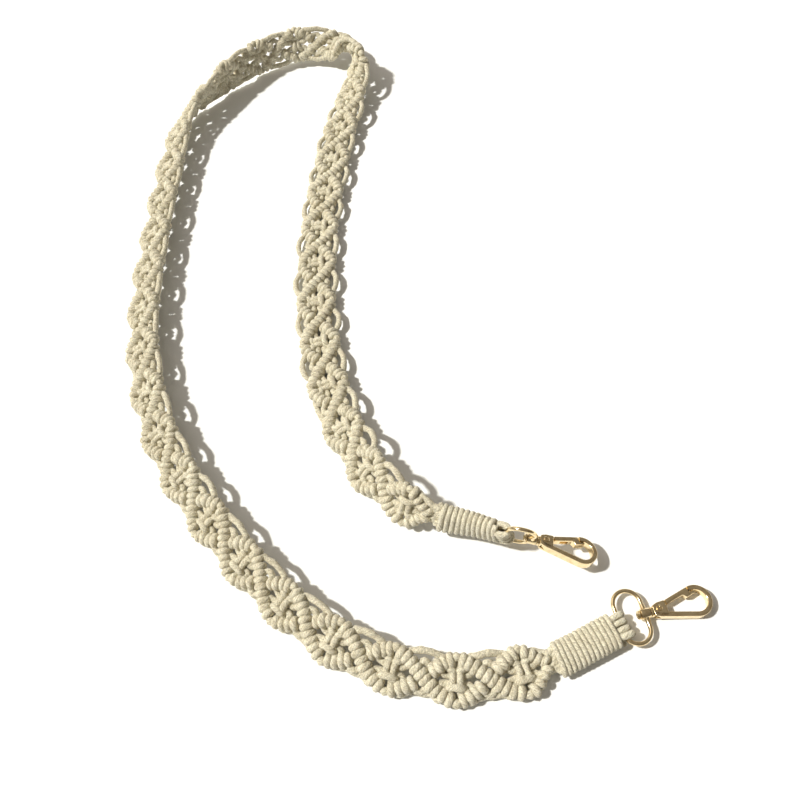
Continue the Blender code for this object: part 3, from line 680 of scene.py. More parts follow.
# %% A helper that builds node trees
class Tree(Net):
    def __init__(self, name, **inputs):
        super().__init__(bpy.data.node_groups.new(name, "GeometryNodeTree"))

        def socket(title, kind, way="INPUT"):
            face = self.tree.interface
            return face.new_socket(title, in_out=way, socket_type="NodeSocket" + kind).identifier

        socket("Geometry", "Geometry")
        self.names = {title: socket(title, kind) for title, kind in inputs.items()}
        socket("Geometry", "Geometry", "OUTPUT")
        self.source = self.tree.nodes.new("NodeGroupInput")
        self.sink = self.tree.nodes.new("NodeGroupOutput")

    def __getitem__(self, title):
        """One of the tree's own inputs."""
        return Out(self, self.source.outputs[title])

    def geo(self, kind, *values, **named):
        return self.add("GeometryNode" + kind, *values, **named)

    def split(self, vector):
        node = self.add("ShaderNodeSeparateXYZ", vector).socket.node
        return [Out(self, socket) for socket in node.outputs]

    def eased(self, *values):
        return self.mapped(*values, interpolation_type="SMOOTHSTEP")

    def named(self, name, kind="FLOAT"):
        return self.geo("InputNamedAttribute", Name=name, data_type=kind)

    def store(self, geometry, name, value, kind="FLOAT"):
        return self.geo("StoreNamedAttribute", Geometry=geometry, Name=name, Value=value,
                        data_type=kind)

    def circle(self, sides):
        return self.geo("CurvePrimitiveCircle", Resolution=sides, Radius=1.0, mode="RADIUS")

    def done(self, geometry):
        self.fill(self.sink, {0: geometry})
        return self

    def clad(self, curve, ring, size, caps, material):
        """Sweep a section along a curve, give it its finish and end the tree."""
        solid = self.geo("CurveToMesh", Curve=curve, Profile_Curve=ring, Scale=size, Fill_Caps=caps)
        solid = self.geo("SetShadeSmooth", Geometry=solid)
        solid = self.geo("RealizeInstances", Geometry=solid)
        return self.done(self.geo("SetMaterial", Geometry=solid, Material=material))


def add_tree(obj, tree, **values):
    """Put a tree on an object and set its named inputs by their identifiers."""
    modifier = obj.modifiers.new(tree.tree.name, "NODES")
    modifier.node_group = tree.tree
    for title, value in values.items():
        modifier[tree.names[title]] = value

# %% [markdown]
# The first tree joins copies of a set of lines to what the object already has. A copy
# can be turned half round, because one half of the strap is tied the other way.

# %% Tree that repeats lines along the band
def make_repeat_tree():
    tree = Tree("Repeat lines", Lines="Object", First="Int", Count="Int", Pitch="Float",
                Turn="Float", Lead="Float")
    begin = (tree["First"] + tree["Lead"]) * tree["Pitch"]
    places = tree.geo("MeshLine", Count=tree["Count"], Start_Location=tree.combine(begin, 0.0, 0.0),
                      Offset=tree.combine(tree["Pitch"], 0.0, 0.0), mode="OFFSET")
    lines = tree.geo("ObjectInfo", Object=tree["Lines"], output="Geometry")
    turn = tree.add("FunctionNodeEulerToRotation", tree.combine(0.0, 0.0, tree["Turn"]))
    copies = tree.geo("InstanceOnPoints", Points=places, Instance=lines, Rotation=turn)
    both = tree.geo("JoinGeometry", tree.geo("RealizeInstances", Geometry=copies))
    tree.fill(both.socket.node, {0: tree["Geometry"]})
    return tree.done(both)

# %% [markdown]
# The second tree joins lines that meet, adds the small irregularities of handwork,
# narrows the ends, bends everything along the route and clothes each line in a round
# cord. The picots get a random stand of their own, the same on both sides of a joint.
# From the bend on they are pressed in. Near the first wrap the inner ones, and beyond
# the middle the outer ones, are tucked under the edge that lies on the table.

# %% Tree that lays lines along the route as cords
ROUTE_LEAD = 12 * MM
MERGE_REACH = 0.00002
TUCK_OVER = 60 * MM
TUCK_IN = 4.6 * MM
TUCK_DOWN = 2.4 * MM
TUCK_BOTH = 0.45
TUCK_LET_OUT = -0.2
TUCK_LEAD = 190 * MM
START_TUCK = 75 * MM
START_FREE = 115 * MM
WANDER_SCALE = 190.0
PLUMP_SCALE = 330.0


def make_lay_tree():
    sizes = ("Start", "Run", "Pitch", "End_Share", "End_Length", "Wander", "Picot_Play", "Tuck_From",
             "Plump_Play")
    tree = Tree("Lay cords", Route="Object", **dict.fromkeys(sizes, "Float"), Sides="Int",
                Cotton="Material", Seed="Int")
    joined = tree.geo("MergeByDistance", Geometry=tree["Geometry"], Distance=MERGE_REACH)
    s, v, w = tree.split(tree.geo("InputPosition"))
    near_end = tree.math("MINIMUM", s, tree["Run"] - s)
    share = tree.eased(near_end, 0.0, tree["End_Length"], tree["End_Share"], 1.0)
    side = tree.math("SIGN", v)
    which = tree.math("ROUND", tree.math("DIVIDE", s, tree["Pitch"])) * 2.0 + side
    loose = tree.named("loose")
    play = []
    for number in (1.0, 2.0):
        chance = tree.add("FunctionNodeRandomValue", output=1, ID=which, Seed=tree["Seed"] + number)
        chance.socket.node.inputs[2].default_value = -1.0
        play.append(chance * (loose * tree["Picot_Play"]))

    def tucked(begin, most):
        return tree.eased(s, begin, begin + TUCK_OVER, 0.0, most)

    inner = tree.math("MAXIMUM", side * -1.0, 0.0)
    first = tree.eased(s, START_TUCK, START_FREE, 1.0, 0.0) * inner
    both = tucked(tree["Tuck_From"] - TUCK_LEAD, TUCK_BOTH)
    outer = tree.math("MAXIMUM", side, TUCK_LET_OUT / (1.0 - TUCK_BOTH))
    tuck = loose * (first + (both + tucked(tree["Tuck_From"], 1.0 - TUCK_BOTH) * outer))
    spread = v * share + side * play[0] - side * (tuck * TUCK_IN)
    lift = w + play[1] - tuck * TUCK_DOWN
    flat_place = tree.combine(s, spread, lift)
    shake = tree.noise(flat_place, WANDER_SCALE, 1.0, output="Color")
    shake = tree.vector("SUBTRACT", shake, (0.5, 0.5, 0.5))
    ds, dv, dw = tree.split(tree.vector("SCALE", shake, Scale=tree["Wander"]))
    lumps = (tree.noise(flat_place, PLUMP_SCALE, 0.0) - 0.5) * tree["Plump_Play"]
    plump = tree.named("radius") * (lumps + 1.0)
    route_mesh = tree.geo("ObjectInfo", Object=tree["Route"], output="Geometry")
    route_line = tree.geo("MeshToCurve", Mesh=route_mesh)
    at = s + ds + (tree["Start"] + ROUTE_LEAD)

    def on_route(output=0, **named):
        return tree.geo("SampleCurve", output=output, Curves=route_line, Length=at, mode="LENGTH",
                        use_all_curves=False, **named)

    def way(key, far):
        value = on_route(Value=tree.named(key, "FLOAT_VECTOR"), data_type="FLOAT_VECTOR")
        return tree.vector("SCALE", value, Scale=far)

    across = tree.vector("ADD", way("outer", spread + dv), way("front", lift + dw))
    x, y, z = tree.split(tree.vector("ADD", on_route("Position"), across))
    above = tree.combine(x, y, tree.math("MAXIMUM", z, plump))
    laid = tree.geo("SetPosition", Geometry=tree.store(joined, "plump", plump), Position=above)
    along = tree.geo("SplineParameter", output="Length")
    curve = tree.store(tree.geo("MeshToCurve", Mesh=laid), "along", along)
    ring = tree.store(tree.circle(tree["Sides"]), "around", tree.geo("InputPosition"), "FLOAT_VECTOR")
    return tree.clad(curve, ring, tree.named("plump"), True, tree["Cotton"])


repeat_tree = make_repeat_tree()
lay_tree = make_lay_tree()
print("trees:", repeat_tree.tree.name, "and", lay_tree.tree.name)

# %% [markdown]
# The route goes to the trees as a line of points that know their outer way and their
# front way. It starts a little before the ring bar, so that the cord loops that turn
# round the bar lie on it too.

# %% The route as a line that knows its own sides
ROUTE_STEP = 1.0 * MM
route_places = np.arange(-ROUTE_LEAD, course.length + ROUTE_LEAD + ROUTE_STEP / 2, ROUTE_STEP)
route_points, _, route_outer, route_front = zip(*(course.frame(float(s)) for s in route_places))
route = edge_object("route", route_points, [(i, i + 1) for i in range(len(route_points) - 1)],
                    outer=route_outer, front=route_front)


def made_plain(obj, name):
    """Turn the evaluated result into a plain mesh object at the origin."""
    bpy.context.view_layer.update()
    depsgraph = bpy.context.evaluated_depsgraph_get()
    mesh = bpy.data.meshes.new_from_object(obj.evaluated_get(depsgraph))
    mesh.name = name
    bpy.data.objects.remove(obj, do_unlink=True)
    print(name, "triangles:", sum(len(p.vertices) - 2 for p in mesh.polygons))
    return new_object(name, mesh)


def stands_for(piece, node, body="strap"):
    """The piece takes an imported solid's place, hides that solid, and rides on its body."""
    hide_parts(node)
    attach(piece, body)
    print(piece.name, "stands for", node, "and rides on", body)

# %% [markdown]
# The band
#
# Three pieces keep each mesh a sensible size. A short table says which diamonds are
# tied which way: up to the middle of the strap they are turned half round, then the
# bump is on the inner side, and near the lower end on the outer side. The crossings and
# the two ends follow in the same table.

# %% Tie the band
TURNED_UNTIL = 17
OUTSIDE_FROM = 27
TYING = (("bump inside", 0, TURNED_UNTIL, True), ("bump inside", TURNED_UNTIL, OUTSIDE_FROM, False),
         ("bump outside", OUTSIDE_FROM, diamonds, False), ("crossing", 1, TURNED_UNTIL, True),
         ("crossing", TURNED_UNTIL, diamonds, False), ("end", 0, 1, False),
         ("end", diamonds, diamonds + 1, True))
BAND_PIECES = (("a", 0, 12), ("b", 12, 24), ("c", 24, diamonds))
SIDES = 10
TUCK_FROM = 0.50 * band_run
HAND_SEED = 7


def repeated(obj, key, first, last, turned):
    """Repeat a pattern; a turned diamond is laid from its far crossing."""
    if last > first:
        add_tree(obj, repeat_tree, Lines=patterns[key], First=first, Count=last - first,
                 Pitch=pitch * MM, Turn=math.pi if turned else 0.0,
                 Lead=float(turned and key.startswith("bump")))


def lay(obj, start=band_start, run=band_run, end_share=1.0, wander=0.8 * MM, play=0.0, plump=0.5):
    add_tree(obj, lay_tree, Route=route, Start=start, Run=run, Pitch=pitch * MM, End_Share=end_share,
             End_Length=END_LENGTH * MM, Wander=wander, Picot_Play=play, Tuck_From=TUCK_FROM,
             Plump_Play=plump, Sides=SIDES, Cotton=cotton, Seed=HAND_SEED)


for letter, low, high in BAND_PIECES:
    holder = line_object("band_lines", [])
    top = diamonds + 1 if high == diamonds else high
    for key, first, last, turned in TYING:
        repeated(holder, key, max(first, low), min(last, top), turned)
    lay(holder, end_share=END_NARROWS, play=0.6 * MM)
    stands_for(made_plain(holder, "knotted_band_" + letter), "macrame_band")

# %% [markdown]
# The wrapped ends
#
# At each end all the cords are gathered flat and bound with one cord, wound tightly
# round and round and finished by pulling its end inside. So each wrap is one coil on
# a rounded oval. It takes the place of the imported sleeve, which is hidden.

# %% Wind the two coils
COIL_TURNS = {"a": 11, "b": 13}
COIL_CORD = {"a": 1.42, "b": 1.22}
COIL_POINTS = 26
COIL_NEARER = 3.0 * MM


def coil(end):
    radius = COIL_CORD[end]
    count = COIL_TURNS[end] * COIL_POINTS
    size = WRAP_WIDTH / 2 / MM - radius, WRAP_THICKNESS / 2 / MM - radius
    length = (WRAP_LENGTH + COIL_NEARER) / MM - 2 * radius
    winds = np.array([(radius + length * step / count, *oval(*size, math.tau * step / COIL_POINTS),
                       radius, 0.0) for step in range(count + 1)])
    holder = line_object("coil_lines", [winds])
    start = wrap_start - COIL_NEARER if end == "a" else course.length - wrap_start - WRAP_LENGTH
    lay(holder, start=start, run=WRAP_LENGTH, wander=0.35 * MM, plump=0.25)
    stands_for(made_plain(holder, "wrap_coil_" + end), "wrap_" + end)

# %% [markdown]
# The cord loops on the rings
#
# Before any knot is tied the cords are folded in half round the ring bar. What shows
# past the wrap are their folds: four lobes side by side, each over the front of the
# bar and back behind it. Six cords give three folds. The fourth is taken to be the
# fold of the binding cord, which is a guess.

# %% Fold the cords round the rings
LOOP_CORD = 1.5
LOOP_PLACES = (-4.8, -1.6, 1.6, 4.8)
RING_HALF_WIDTH = 12.45
RING_HALF_DEPTH = 6.45
BUNDLE_LENGTH = 33.0
LOOP_TURN = RING_WIRE / 2 / MM + LOOP_CORD
LOOP_WAY = ((BUNDLE_LENGTH, 0.85, 1.7), (5.5, 0.85, 2.0), (2.4, 0.95, 2.5))


def loop_lines(way):
    """Loops round a bar at s = 0, with the wrap on the side that way says."""
    lines = []
    for v in LOOP_PLACES:
        bowed = -RING_HALF_DEPTH * (1 - math.sqrt(1 - (v / RING_HALF_WIDTH) ** 2))
        front = [(s, v * share, w) for s, share, w in LOOP_WAY] + [(bowed, v, LOOP_TURN)]
        back = [(s, across, -w) for s, across, w in front[::-1]]
        round_bar = [(bowed - LOOP_TURN * math.cos(angle), v, -LOOP_TURN * math.sin(angle))
                     for angle in map(math.radians, range(-60, 61, 30))]
        line = smooth_line([point + (LOOP_CORD, 0.0) for point in front + round_bar + back])
        lines.append(line * (way, 1, 1, 1, 1))
    return lines


def loops(end):
    holder = line_object("loop_lines", loop_lines(1 if end == "a" else -1))
    lay(holder, start=0.0 if end == "a" else course.length, run=1.0, wander=0.5 * MM, plump=0.3)
    stands_for(made_plain(holder, "ring_loops_" + end), "anchor_cords_" + end)


for end in "ab":
    coil(end)
    loops(end)

# %% [markdown]
# Places on a hook
#
# The hooks are cast alloy and plated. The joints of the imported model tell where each
# hook stands: the swivel gives its origin and its long way (X), and the pin of the
# gate gives its flat face (Z). All the outlines below are drawn in that hook frame.

# %% The hook's frame and its main places
RING_WIDTH = 27 * MM
RING_DEPTH = 15 * MM
BOSS_DIAMETER = 5.0 * MM
BOSS_LENGTH = 4.6 * MM
POST_DIAMETER = 2.0 * MM
POST_HEAD_DIAMETER = 4.2 * MM
POST_HEAD_THICKNESS = 1.3 * MM
HOOK_LENGTH = 32 * MM
HOOK_WIDTH = 14.8 * MM
HOOK_THICKNESS = 4.4 * MM
HOOK_BAR = 2.3 * MM
COLLAR_DIAMETER = 4.8 * MM
COLLAR_LENGTH = 1.2 * MM
HEAD_LENGTH = 6.4 * MM
HEAD_WIDTH = 7.4 * MM
GATE_BAR = 2.3 * MM
GATE_THICKNESS = 3.6 * MM
GATE_TONGUE = 1.6 * MM
GATE_GROOVE = 1.0 * MM
NOSE_LAP = 2.0 * MM
RIVET_DIAMETER = 1.5 * MM
RIVET_HEAD_DIAMETER = 2.9 * MM
RIVET_HEAD_RISE = 0.4 * MM
PIVOT_GAP = 0.3 * MM
RING_LEAN = {"a": 98.0, "b": 0.0}

collar_start = BOSS_LENGTH / 2 + FIT_GAP
head_start = collar_start + COLLAR_LENGTH
head_end = head_start + HEAD_LENGTH
rivet_place = Vector((head_start + 0.45 * HEAD_LENGTH, 0.06 * HEAD_WIDTH, 0))
turn_radius = HOOK_WIDTH / 2
round_centre = Vector((HOOK_LENGTH - turn_radius, 0, 0))
gate_start = Vector((head_end + PIVOT_GAP, HEAD_WIDTH / 2, 0))
to_centre = round_centre - gate_start
gate_angle = math.atan2(to_centre.y, to_centre.x) + math.asin(turn_radius / to_centre.length)


def facing(angle):
    """The way at an angle from the hook's long way, in its flat face."""
    return Vector((math.cos(angle), math.sin(angle), 0))


gate_along = facing(gate_angle)
gate_out = facing(gate_angle + math.pi / 2)
gate_root = (gate_start - round_centre).dot(gate_along)
bar_inner = turn_radius - GATE_BAR


def frame_of(origin, x_way, z_way):
    matrix = Matrix((x_way, z_way.cross(x_way), z_way)).transposed().to_4x4()
    matrix.translation = origin
    return matrix


def hook_frame(end):
    joints = {joint["name"]: joint for joint in frame["joints"]}
    swivel, gate = joints["swivel_" + end], joints["gate_" + end]
    x_way = Vector(swivel["axis"]).normalized()
    return frame_of(Vector(swivel["pos_m"]), x_way, -Vector(gate["axis"]).normalized())


def ring_frame(end):
    hook = hook_frame(end)
    x_way = hook.col[0].to_3d()
    left = Vector((0, 0, 1)).cross(x_way).normalized()
    up = x_way.cross(left)
    lean = math.radians(RING_LEAN[end])
    y_way = math.cos(lean) * left + math.sin(lean) * up
    return frame_of(hook.translation - x_way * (RING_DEPTH - RING_WIRE), x_way, x_way.cross(y_way))


print("gate leans, degrees:", round(math.degrees(gate_angle), 1))

# %% [markdown]
# Three ways to make metal
#
# A wire ring is a line with a thickness, so Geometry Nodes sweeps it. Pins, heads and
# collars are turned on a lathe, so a profile is spun. Cast bars are a section carried
# from station to station. Each helper gives points and faces in the hook's frame.

# %% Helpers for turned, swept and flat pieces
TURNED_SIDES = 40
SHARP_EDGE = math.radians(35)


def skin(rings, closed=False):
    """Faces between rings of points, with the two ends capped unless it is closed."""
    sides = len(rings[0])
    points = [p for ring in rings for p in ring]
    faces = []
    for row in range(len(rings) if closed else len(rings) - 1):
        here, there = row * sides, (row + 1) % len(rings) * sides
        for i, j in zip(range(sides), [*range(1, sides), 0]):
            faces.append((here + i, here + j, there + j, there + i))
    if not closed:
        faces.append(tuple(range(sides))[::-1])
        faces.append(tuple(range(len(points) - sides, len(points))))
    return points, faces


def circle(radius):
    angles = [math.tau * i / TURNED_SIDES for i in range(TURNED_SIDES)]
    return [(radius * math.cos(angle), radius * math.sin(angle)) for angle in angles]


def spun(profile, closed=False):
    """A solid turned about X from (place, radius) pairs; every radius is above zero."""
    return skin([[(x, *p) for p in circle(radius)] for x, radius in profile], closed)


def rounded(corners, radius, steps=5):
    """A convex outline with every corner rounded by an arc."""
    corners = [Vector(corner) for corner in corners]
    result = []
    for before, here, after in zip(corners[-1:] + corners, corners, corners[1:] + corners[:1]):
        back, on = before - here, after - here
        reach = min(radius, 0.45 * back.length, 0.45 * on.length)
        first, last = here + back.normalized() * reach, here + on.normalized() * reach
        for t in (step / steps for step in range(steps + 1)):
            result.append((1 - t) ** 2 * first + 2 * t * (1 - t) * here + t ** 2 * last)
    return result


def slab(outline, low, high, soft_low=0.0, soft_high=0.0):
    """A flat piece from an outline, with its rims softened above and below."""
    centre = sum(outline, Vector((0, 0))) / len(outline)
    reach = max((p - centre).length for p in outline)
    rims = []
    for base, soft in ((low, soft_low), (high, -soft_high)):
        angles = [math.pi / 8 * step for step in range(5 if soft else 1)]
        rims.append([(base + soft * (1 - math.cos(a)), abs(soft) * (1 - math.sin(a))) for a in angles])
    return skin([[(*(centre + (p - centre) * (1 - inset / reach)), height) for p in outline]
                 for height, inset in rims[0] + rims[1][::-1]])


def metal_piece(name, parts, matrix):
    """One closed-part mesh from several (points, faces) parts, placed by a frame."""
    points, faces = [], []
    for part_points, part_faces in parts:
        faces.extend(tuple(len(points) + i for i in face) for face in part_faces)
        points.extend(matrix @ Vector(p) for p in part_points)
    mesh = bpy.data.meshes.new(name)
    mesh.from_pydata(points, [], faces)
    work = bmesh.new()
    work.from_mesh(mesh)
    bmesh.ops.recalc_face_normals(work, faces=work.faces)
    work.to_mesh(mesh)
    work.free()
    mesh.materials.append(gold)
    mesh.shade_smooth()
    mesh.set_sharp_from_angle(angle=SHARP_EDGE)
    return new_object(name, mesh)

# %% [markdown]
# The rings
#
# Each ring is a flattened loop of drawn wire. The bar that faces the hook swells into
# a lug with a hole for the swivel post, and the cords lie over the opposite bar.

# %% Sweep the rings and their lugs
LUG_REACH = 4.6 * MM
LUG_SWELL = 0.75 * MM
LUG_SOFT = 0.45 * MM
RING_FAR = RING_DEPTH - RING_WIRE


def make_wire_tree():
    tree = Tree("Sweep a wire", Sides="Int", Metal="Material")
    curve = tree.geo("MeshToCurve", Mesh=tree["Geometry"])
    return tree.clad(curve, tree.circle(tree["Sides"]), tree.named("radius"), False, tree["Metal"])


wire_tree = make_wire_tree()


def ring_outline():
    """Points (x, y) of the flattened loop, its near bar at x = 0."""
    bend = (RING_DEPTH - RING_WIRE) / 2
    straight = (RING_WIDTH - RING_WIRE) / 2 - bend
    points = []
    for side in (-1, 1):
        for angle in map(math.radians, range(-90, 91, 6)):
            x, y = bend * (1 - side * math.sin(angle)), straight + bend * math.cos(angle)
            points.append((x, side * y))
        far = 0.0 if side == 1 else 2 * bend
        points.extend((far, side * straight * (1 - quarter / 4)) for quarter in range(1, 8))
    return points


def make_ring(end):
    matrix = ring_frame(end)
    outline = ring_outline()
    radii = []
    for x, y in outline:
        near = max(0.0, 1 - math.hypot(x - RING_FAR, y) / LUG_REACH)
        radii.append(RING_WIRE / 2 + LUG_SWELL * near * near * (3 - 2 * near))
    holder = edge_object("ring_line", [matrix @ Vector((x, y, 0)) for x, y in outline],
                         [(i, (i + 1) % len(outline)) for i in range(len(outline))], radius=radii)
    add_tree(holder, wire_tree, Sides=20, Metal=gold)
    wire = made_plain(holder, "ring_wire_" + end)
    half, radius, bore = BOSS_LENGTH / 2, BOSS_DIAMETER / 2, POST_DIAMETER / 2 + FIT_GAP
    slant = 0.3 * LUG_SOFT
    outside = [(half, bore), (half, radius - LUG_SOFT), (half - slant, radius - slant),
               (half - LUG_SOFT, radius)]
    profile = [(RING_FAR - x, r) for x, r in outside] + [(RING_FAR + x, r) for x, r in outside[::-1]]
    lug = metal_piece("ring_lug_" + end, [spun(profile, closed=True)], matrix)
    for piece in (wire, lug):
        stands_for(piece, "ring_" + end)


for end in "ab":
    make_ring(end)

# %% [markdown]
# The hooks
#
# The cast body is a head with two cheeks for the gate, and one bar that runs on from
# the head, round the end and back to the nose. A collar and a post with a round head
# join it to the ring; the post turns freely in the lug.

# %% Cast the hook bodies
BAR_SOFT = 0.55 * MM
END_STEPS = 49


def bar_section():
    """A softened rectangle, as (across, up)."""
    half, tall = HOOK_BAR / 2, HOOK_THICKNESS / 2
    return rounded([(half, -tall), (half, tall), (-half, tall), (-half, -tall)], BAR_SOFT, steps=4)


def spine():
    """The bar from the head's lower side, round the end, to the nose."""
    radius = turn_radius - HOOK_BAR / 2
    root = Vector((head_end - HOOK_BAR, -(HEAD_WIDTH - HOOK_BAR) / 2, 0))
    way = round_centre - root
    heading = math.atan2(way.y, way.x) - math.asin(radius / way.length)
    first, last = heading - math.pi / 2, gate_angle + math.pi / 2
    front = Vector((head_start + 0.9 * MM, -COLLAR_DIAMETER / 2 + HOOK_BAR / 2 + 0.1 * MM, 0))
    line = [(front, Vector((0.30, -0.95, 0)).normalized()),
            (root - Vector((1.2 * MM, -0.15 * MM, 0)), Vector((0.1, -1, 0)).normalized()),
            (root, facing(first))]
    touch = round_centre + facing(first) * radius
    line += [(root.lerp(touch, t), facing(first)) for t in (0.25, 0.5, 0.75)]
    line += [(round_centre + facing(a) * radius, facing(a))
             for a in np.linspace(first, last, END_STEPS)]
    return skin([[point + out * p.x + Vector((0, 0, p.y)) for p in bar_section()]
                 for point, out in line])


def head_parts():
    """Two cheeks with the gate's slot between them, and a bridge behind the collar."""
    wide, collar, tall = HEAD_WIDTH / 2, COLLAR_DIAMETER / 2, HOOK_THICKNESS / 2
    lower = [(head_start, -collar), (head_start + 0.4 * HEAD_LENGTH, -wide * 0.92),
             (head_end, -wide * 0.98)]
    outline = rounded(lower + [(x, -y) for x, y in lower[::-1]], 0.6 * MM)
    slot = GATE_TONGUE / 2 + PIVOT_GAP
    behind, before = head_start + 0.1 * MM, head_start + 0.7 * MM
    bridge = [Vector(p) for p in ((behind, -collar + 0.2 * MM), (before, -collar), (before, collar),
                                  (behind, collar - 0.2 * MM))]
    return [slab(outline, slot, tall, soft_high=0.4 * MM),
            slab(outline, -tall, -slot, soft_low=0.4 * MM),
            slab(bridge, -slot - 0.1 * MM, slot + 0.1 * MM)]


def post():
    """The swivel post from its round head, through the lug, to the collar at the hook."""
    far, pin, collar = -(BOSS_LENGTH / 2 + FIT_GAP), POST_DIAMETER / 2, COLLAR_DIAMETER / 2
    back = far - POST_HEAD_THICKNESS
    knob = ((back + 0.25 * MM, 0.25), (back + 0.05 * MM, 0.38), (back, 0.55), (back + 0.15 * MM, 0.75),
            (back + 0.45 * MM, 0.93), (far - 0.35 * MM, 1), (far, 0.94))
    return spun([(x, share * POST_HEAD_DIAMETER / 2) for x, share in knob]
                + [(far, pin), (collar_start, pin), (collar_start, collar - 0.25 * MM),
                   (collar_start + 0.25 * MM, collar), (head_start - 0.25 * MM, collar),
                   (head_start, collar - 0.2 * MM), (head_start + 0.6 * MM, collar - 0.2 * MM)])


for end in "ab":
    hook = metal_piece("hook_body_" + end, head_parts() + [spine(), post()], hook_frame(end))
    stands_for(hook, "hook_" + end, "hook_" + end)

# %% [markdown]
# The gates and their rivets
#
# A gate is a lever with a groove along its inner side, pinned between the cheeks by an
# eye. Its far end steps inward and laps behind the nose, so it can only swing in.

# %% Cast the gates and turn the rivets
GATE_SOFT = 0.35 * MM
EYE_BORE = RIVET_DIAMETER / 2 + PIVOT_GAP
EYE_RADIUS = EYE_BORE + GATE_TONGUE / 2


def cut(along, inner=bar_inner, outer=turn_radius, deep=0.0):
    """The lever's section at one place: a softened block with a groove."""
    tall, groove, slant = GATE_THICKNESS / 2, GATE_TONGUE / 2, 0.3 * GATE_SOFT
    upper = [(inner + deep, groove), (inner, groove), (inner, tall - GATE_SOFT),
             (inner + slant, tall - slant), (inner + GATE_SOFT, tall), (outer - GATE_SOFT, tall),
             (outer - slant, tall - slant), (outer, tall - GATE_SOFT)]
    return [round_centre + gate_along * along + gate_out * out + Vector((0, 0, up))
            for out, up in upper + [(out, -up) for out, up in upper[::-1]]]


def lever():
    """The gate from its root at the rivet to the lap behind the nose."""
    lap_out = math.sqrt(bar_inner ** 2 - NOSE_LAP ** 2) - FIT_GAP
    lap_in = lap_out - GATE_BAR / 2
    step = -FIT_GAP - 1.5 * GATE_BAR
    return skin([cut(gate_root, bar_inner + 0.15 * MM, turn_radius - 0.15 * MM),
                 cut(gate_root + 0.2 * MM), cut(gate_root + 1.2 * GATE_BAR),
                 cut(gate_root + 1.3 * GATE_BAR, deep=GATE_GROOVE),
                 cut(step - 0.9 * GATE_BAR, deep=GATE_GROOVE), cut(step - 0.8 * GATE_BAR), cut(step),
                 cut(step + 0.25 * GATE_BAR, bar_inner - 0.7 * MM), cut(step + GATE_BAR / 2, lap_in),
                 cut(-FIT_GAP - 0.1 * MM, lap_in), cut(-FIT_GAP, lap_in, turn_radius - 0.15 * MM),
                 cut(-FIT_GAP + 0.05 * MM, lap_in, lap_out), cut(NOSE_LAP - 0.2 * MM, lap_in, lap_out),
                 cut(NOSE_LAP, lap_in + 0.15 * MM, lap_out - 0.1 * MM)])


def eye():
    """The bored eye that the rivet goes through, and the neck that joins it to the lever."""
    half = GATE_TONGUE / 2
    section = (EYE_BORE, -half), (EYE_RADIUS, -half), (EYE_RADIUS, half), (EYE_BORE, half)
    rings = [[rivet_place + Vector((*p, z)) for p in circle(radius)] for radius, z in section]
    root = (round_centre + gate_along * (gate_root + 0.6 * GATE_BAR)
            + gate_out * (bar_inner + turn_radius) / 2)
    way = (root - rivet_place).normalized()
    side = Vector((-way.y, way.x, 0)) * 0.9 * MM
    start = rivet_place + way * (EYE_RADIUS - 0.2 * MM)
    neck = [p.to_2d() for p in (start - side, root - side, root + side, start + side)]
    return [skin(rings, closed=True), slab(neck, -half, half)]


def rivet():
    """A rivet turned about X and then stood up about Z in its place."""
    top = HOOK_THICKNESS / 2 + FIT_GAP + RIVET_HEAD_RISE - 0.2 * MM
    head = ((0.35, 0.08), (0.3, 0.28), (0, 0.42), (0, 0.62), (0.12, 0.70), (0.12, 0.78), (0.02, 0.86),
            (0.15, 0.97))
    half = [(top - below * MM, share * RIVET_HEAD_DIAMETER / 2) for below, share in head]
    half += [(HOOK_THICKNESS / 2 + 0.02 * MM, diameter / 2)
             for diameter in (RIVET_HEAD_DIAMETER, RIVET_DIAMETER)]
    points, faces = spun([(-z, r) for z, r in half] + half[::-1])
    return [rivet_place + Vector((y, z, x)) for x, y, z in points], faces


for end in "ab":
    matrix = hook_frame(end)
    gate = metal_piece("gate_lever_" + end, [lever()] + eye(), matrix)
    pin = metal_piece("gate_rivet_" + end, [rivet()], matrix)
    stands_for(gate, "gate_" + end, "gate_" + end)
    stands_for(pin, "rivet_" + end, "hook_" + end)

# %% [markdown]
# The photograph's light and place
#
# The strap lies on white paper. One low sun from the left, a little soft at its edge,
# draws the shadows of the picots, and a warm room with a brighter window behind it
# fills them and gives the metal something to mirror. Where the camera would see past
# the paper it sees white.

# %% Floor and light
FLOOR_REACH = 4.0
PAPER = (0.93, 0.95, 0.97, 1.0)
ROOM_COLOUR = (1.0, 0.895, 0.76, 1.0)
ROOM_GLOW = (-0.3, 0.9, 0.15, 0.29)
WINDOW_GLOW = (0.90, 0.94, 0.0, 0.9)
SUN_COLOUR = (1.0, 0.97, 0.90)
SUN_STRENGTH = 3.9
SUN_SOFTNESS = math.radians(4)
WINDOW_WAY = Vector((-0.5, 0.55, 0.67)).normalized()
SUN_WAY = Vector((0.8, -0.08, -1.0))


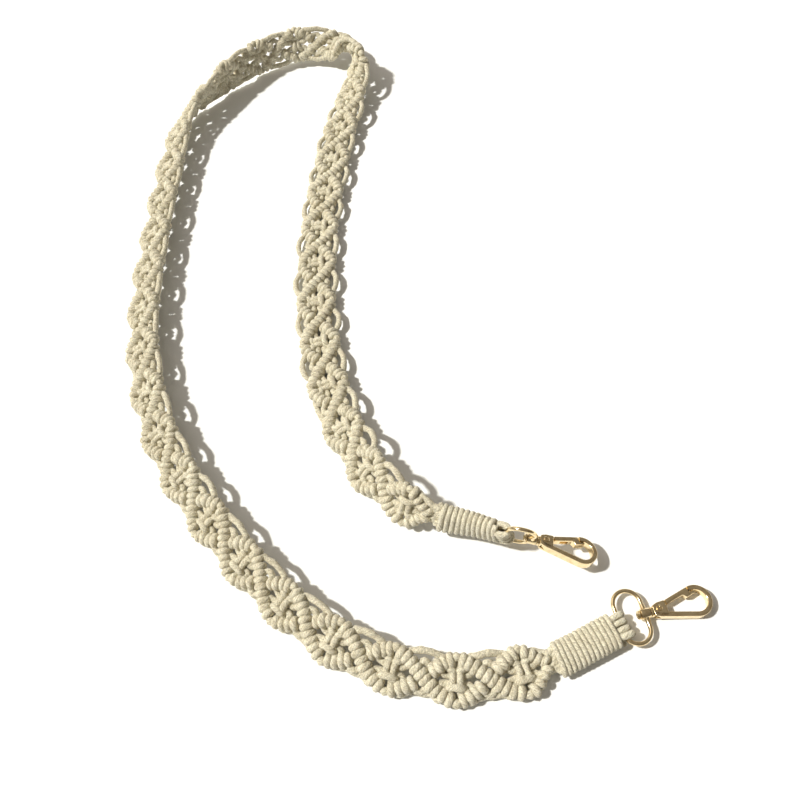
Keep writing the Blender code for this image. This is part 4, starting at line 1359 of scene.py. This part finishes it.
def make_floor():
    corners = [(-1, -1), (1, -1), (1, 1), (-1, 1)]
    mesh = bpy.data.meshes.new("floor")
    mesh.from_pydata([(x * FLOOR_REACH, y * FLOOR_REACH, 0) for x, y in corners], [], [(0, 1, 2, 3)])
    mesh.materials.append(finish("white paper", lambda net: {"Base Color": PAPER, "Roughness": 0.9}))
    new_object("floor", mesh)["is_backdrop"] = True


def make_room():
    world = bpy.data.worlds.new("soft room")
    world.use_nodes = True
    nodes, net = world.node_tree.nodes, Net(world.node_tree)
    way = net.add("ShaderNodeTexCoord", output="Generated")
    toward = net.vector("DOT_PRODUCT", way, WINDOW_WAY, output="Value")
    glow = net.mapped(toward, *ROOM_GLOW) + net.mapped(toward, *WINDOW_GLOW)
    net.fill(nodes["Background"], {"Color": ROOM_COLOUR, "Strength": glow})
    room = Out(net, nodes["Background"].outputs["Background"])
    seen = net.add("ShaderNodeLightPath", output="Is Camera Ray")
    choice = net.add("ShaderNodeMixShader", seen, room, net.add("ShaderNodeBackground", Color=WHITE))
    net.fill(nodes["World Output"], {"Surface": choice})
    bpy.context.scene.world = world


def make_sun():
    sun = bpy.data.lights.new("window", "SUN")
    sun.energy, sun.angle, sun.color = SUN_STRENGTH, SUN_SOFTNESS, SUN_COLOUR
    new_object("window", sun).rotation_euler = SUN_WAY.to_track_quat("-Z", "Y").to_euler()


make_floor()
make_room()
make_sun()

# %% [markdown]
# The camera stands where the photograph was taken from: above the near side, looking
# down by 59 degrees and turned a little about its own line of sight. Then the lines
# that the cords were made from are cleared away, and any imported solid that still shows
# gets a finish of its own.

# %% Camera
CAMERA_PLACE = Vector((0.010, -0.300, 0.37724))
CAMERA_DOWN = math.radians(58.73)
CAMERA_ROLL = math.radians(-8.16)
LENS = 36
NEAREST = 0.01


def make_camera():
    forward = Vector((0, math.cos(CAMERA_DOWN), -math.sin(CAMERA_DOWN)))
    right = Vector((1, 0, 0))
    up = right.cross(forward)
    turned = math.cos(CAMERA_ROLL) * right + math.sin(CAMERA_ROLL) * up
    data = bpy.data.cameras.new("photo view")
    data.lens, data.sensor_width, data.clip_start = LENS, LENS, NEAREST
    camera = new_object("photo view", data)
    camera.matrix_world = frame_of(CAMERA_PLACE + course.shift, turned, -forward)
    bpy.context.scene.camera = camera


make_camera()
bpy.context.scene.view_settings.view_transform = "Standard"
for obj in list(patterns.values()) + [route]:
    bpy.data.objects.remove(obj, do_unlink=True)
for name, node in frame["nodes"].items():
    if not node.hide_render:
        node.data.materials.clear()
        node.data.materials.append(cotton if name.startswith(("wrap", "anchor")) else gold)

# %% [markdown]
# Last, the box of what is drawn is worked out and printed.

# %% Print the size of what is drawn
low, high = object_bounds()
print("visual box, mm:", [round(v / MM, 1) for v in (high - low)])
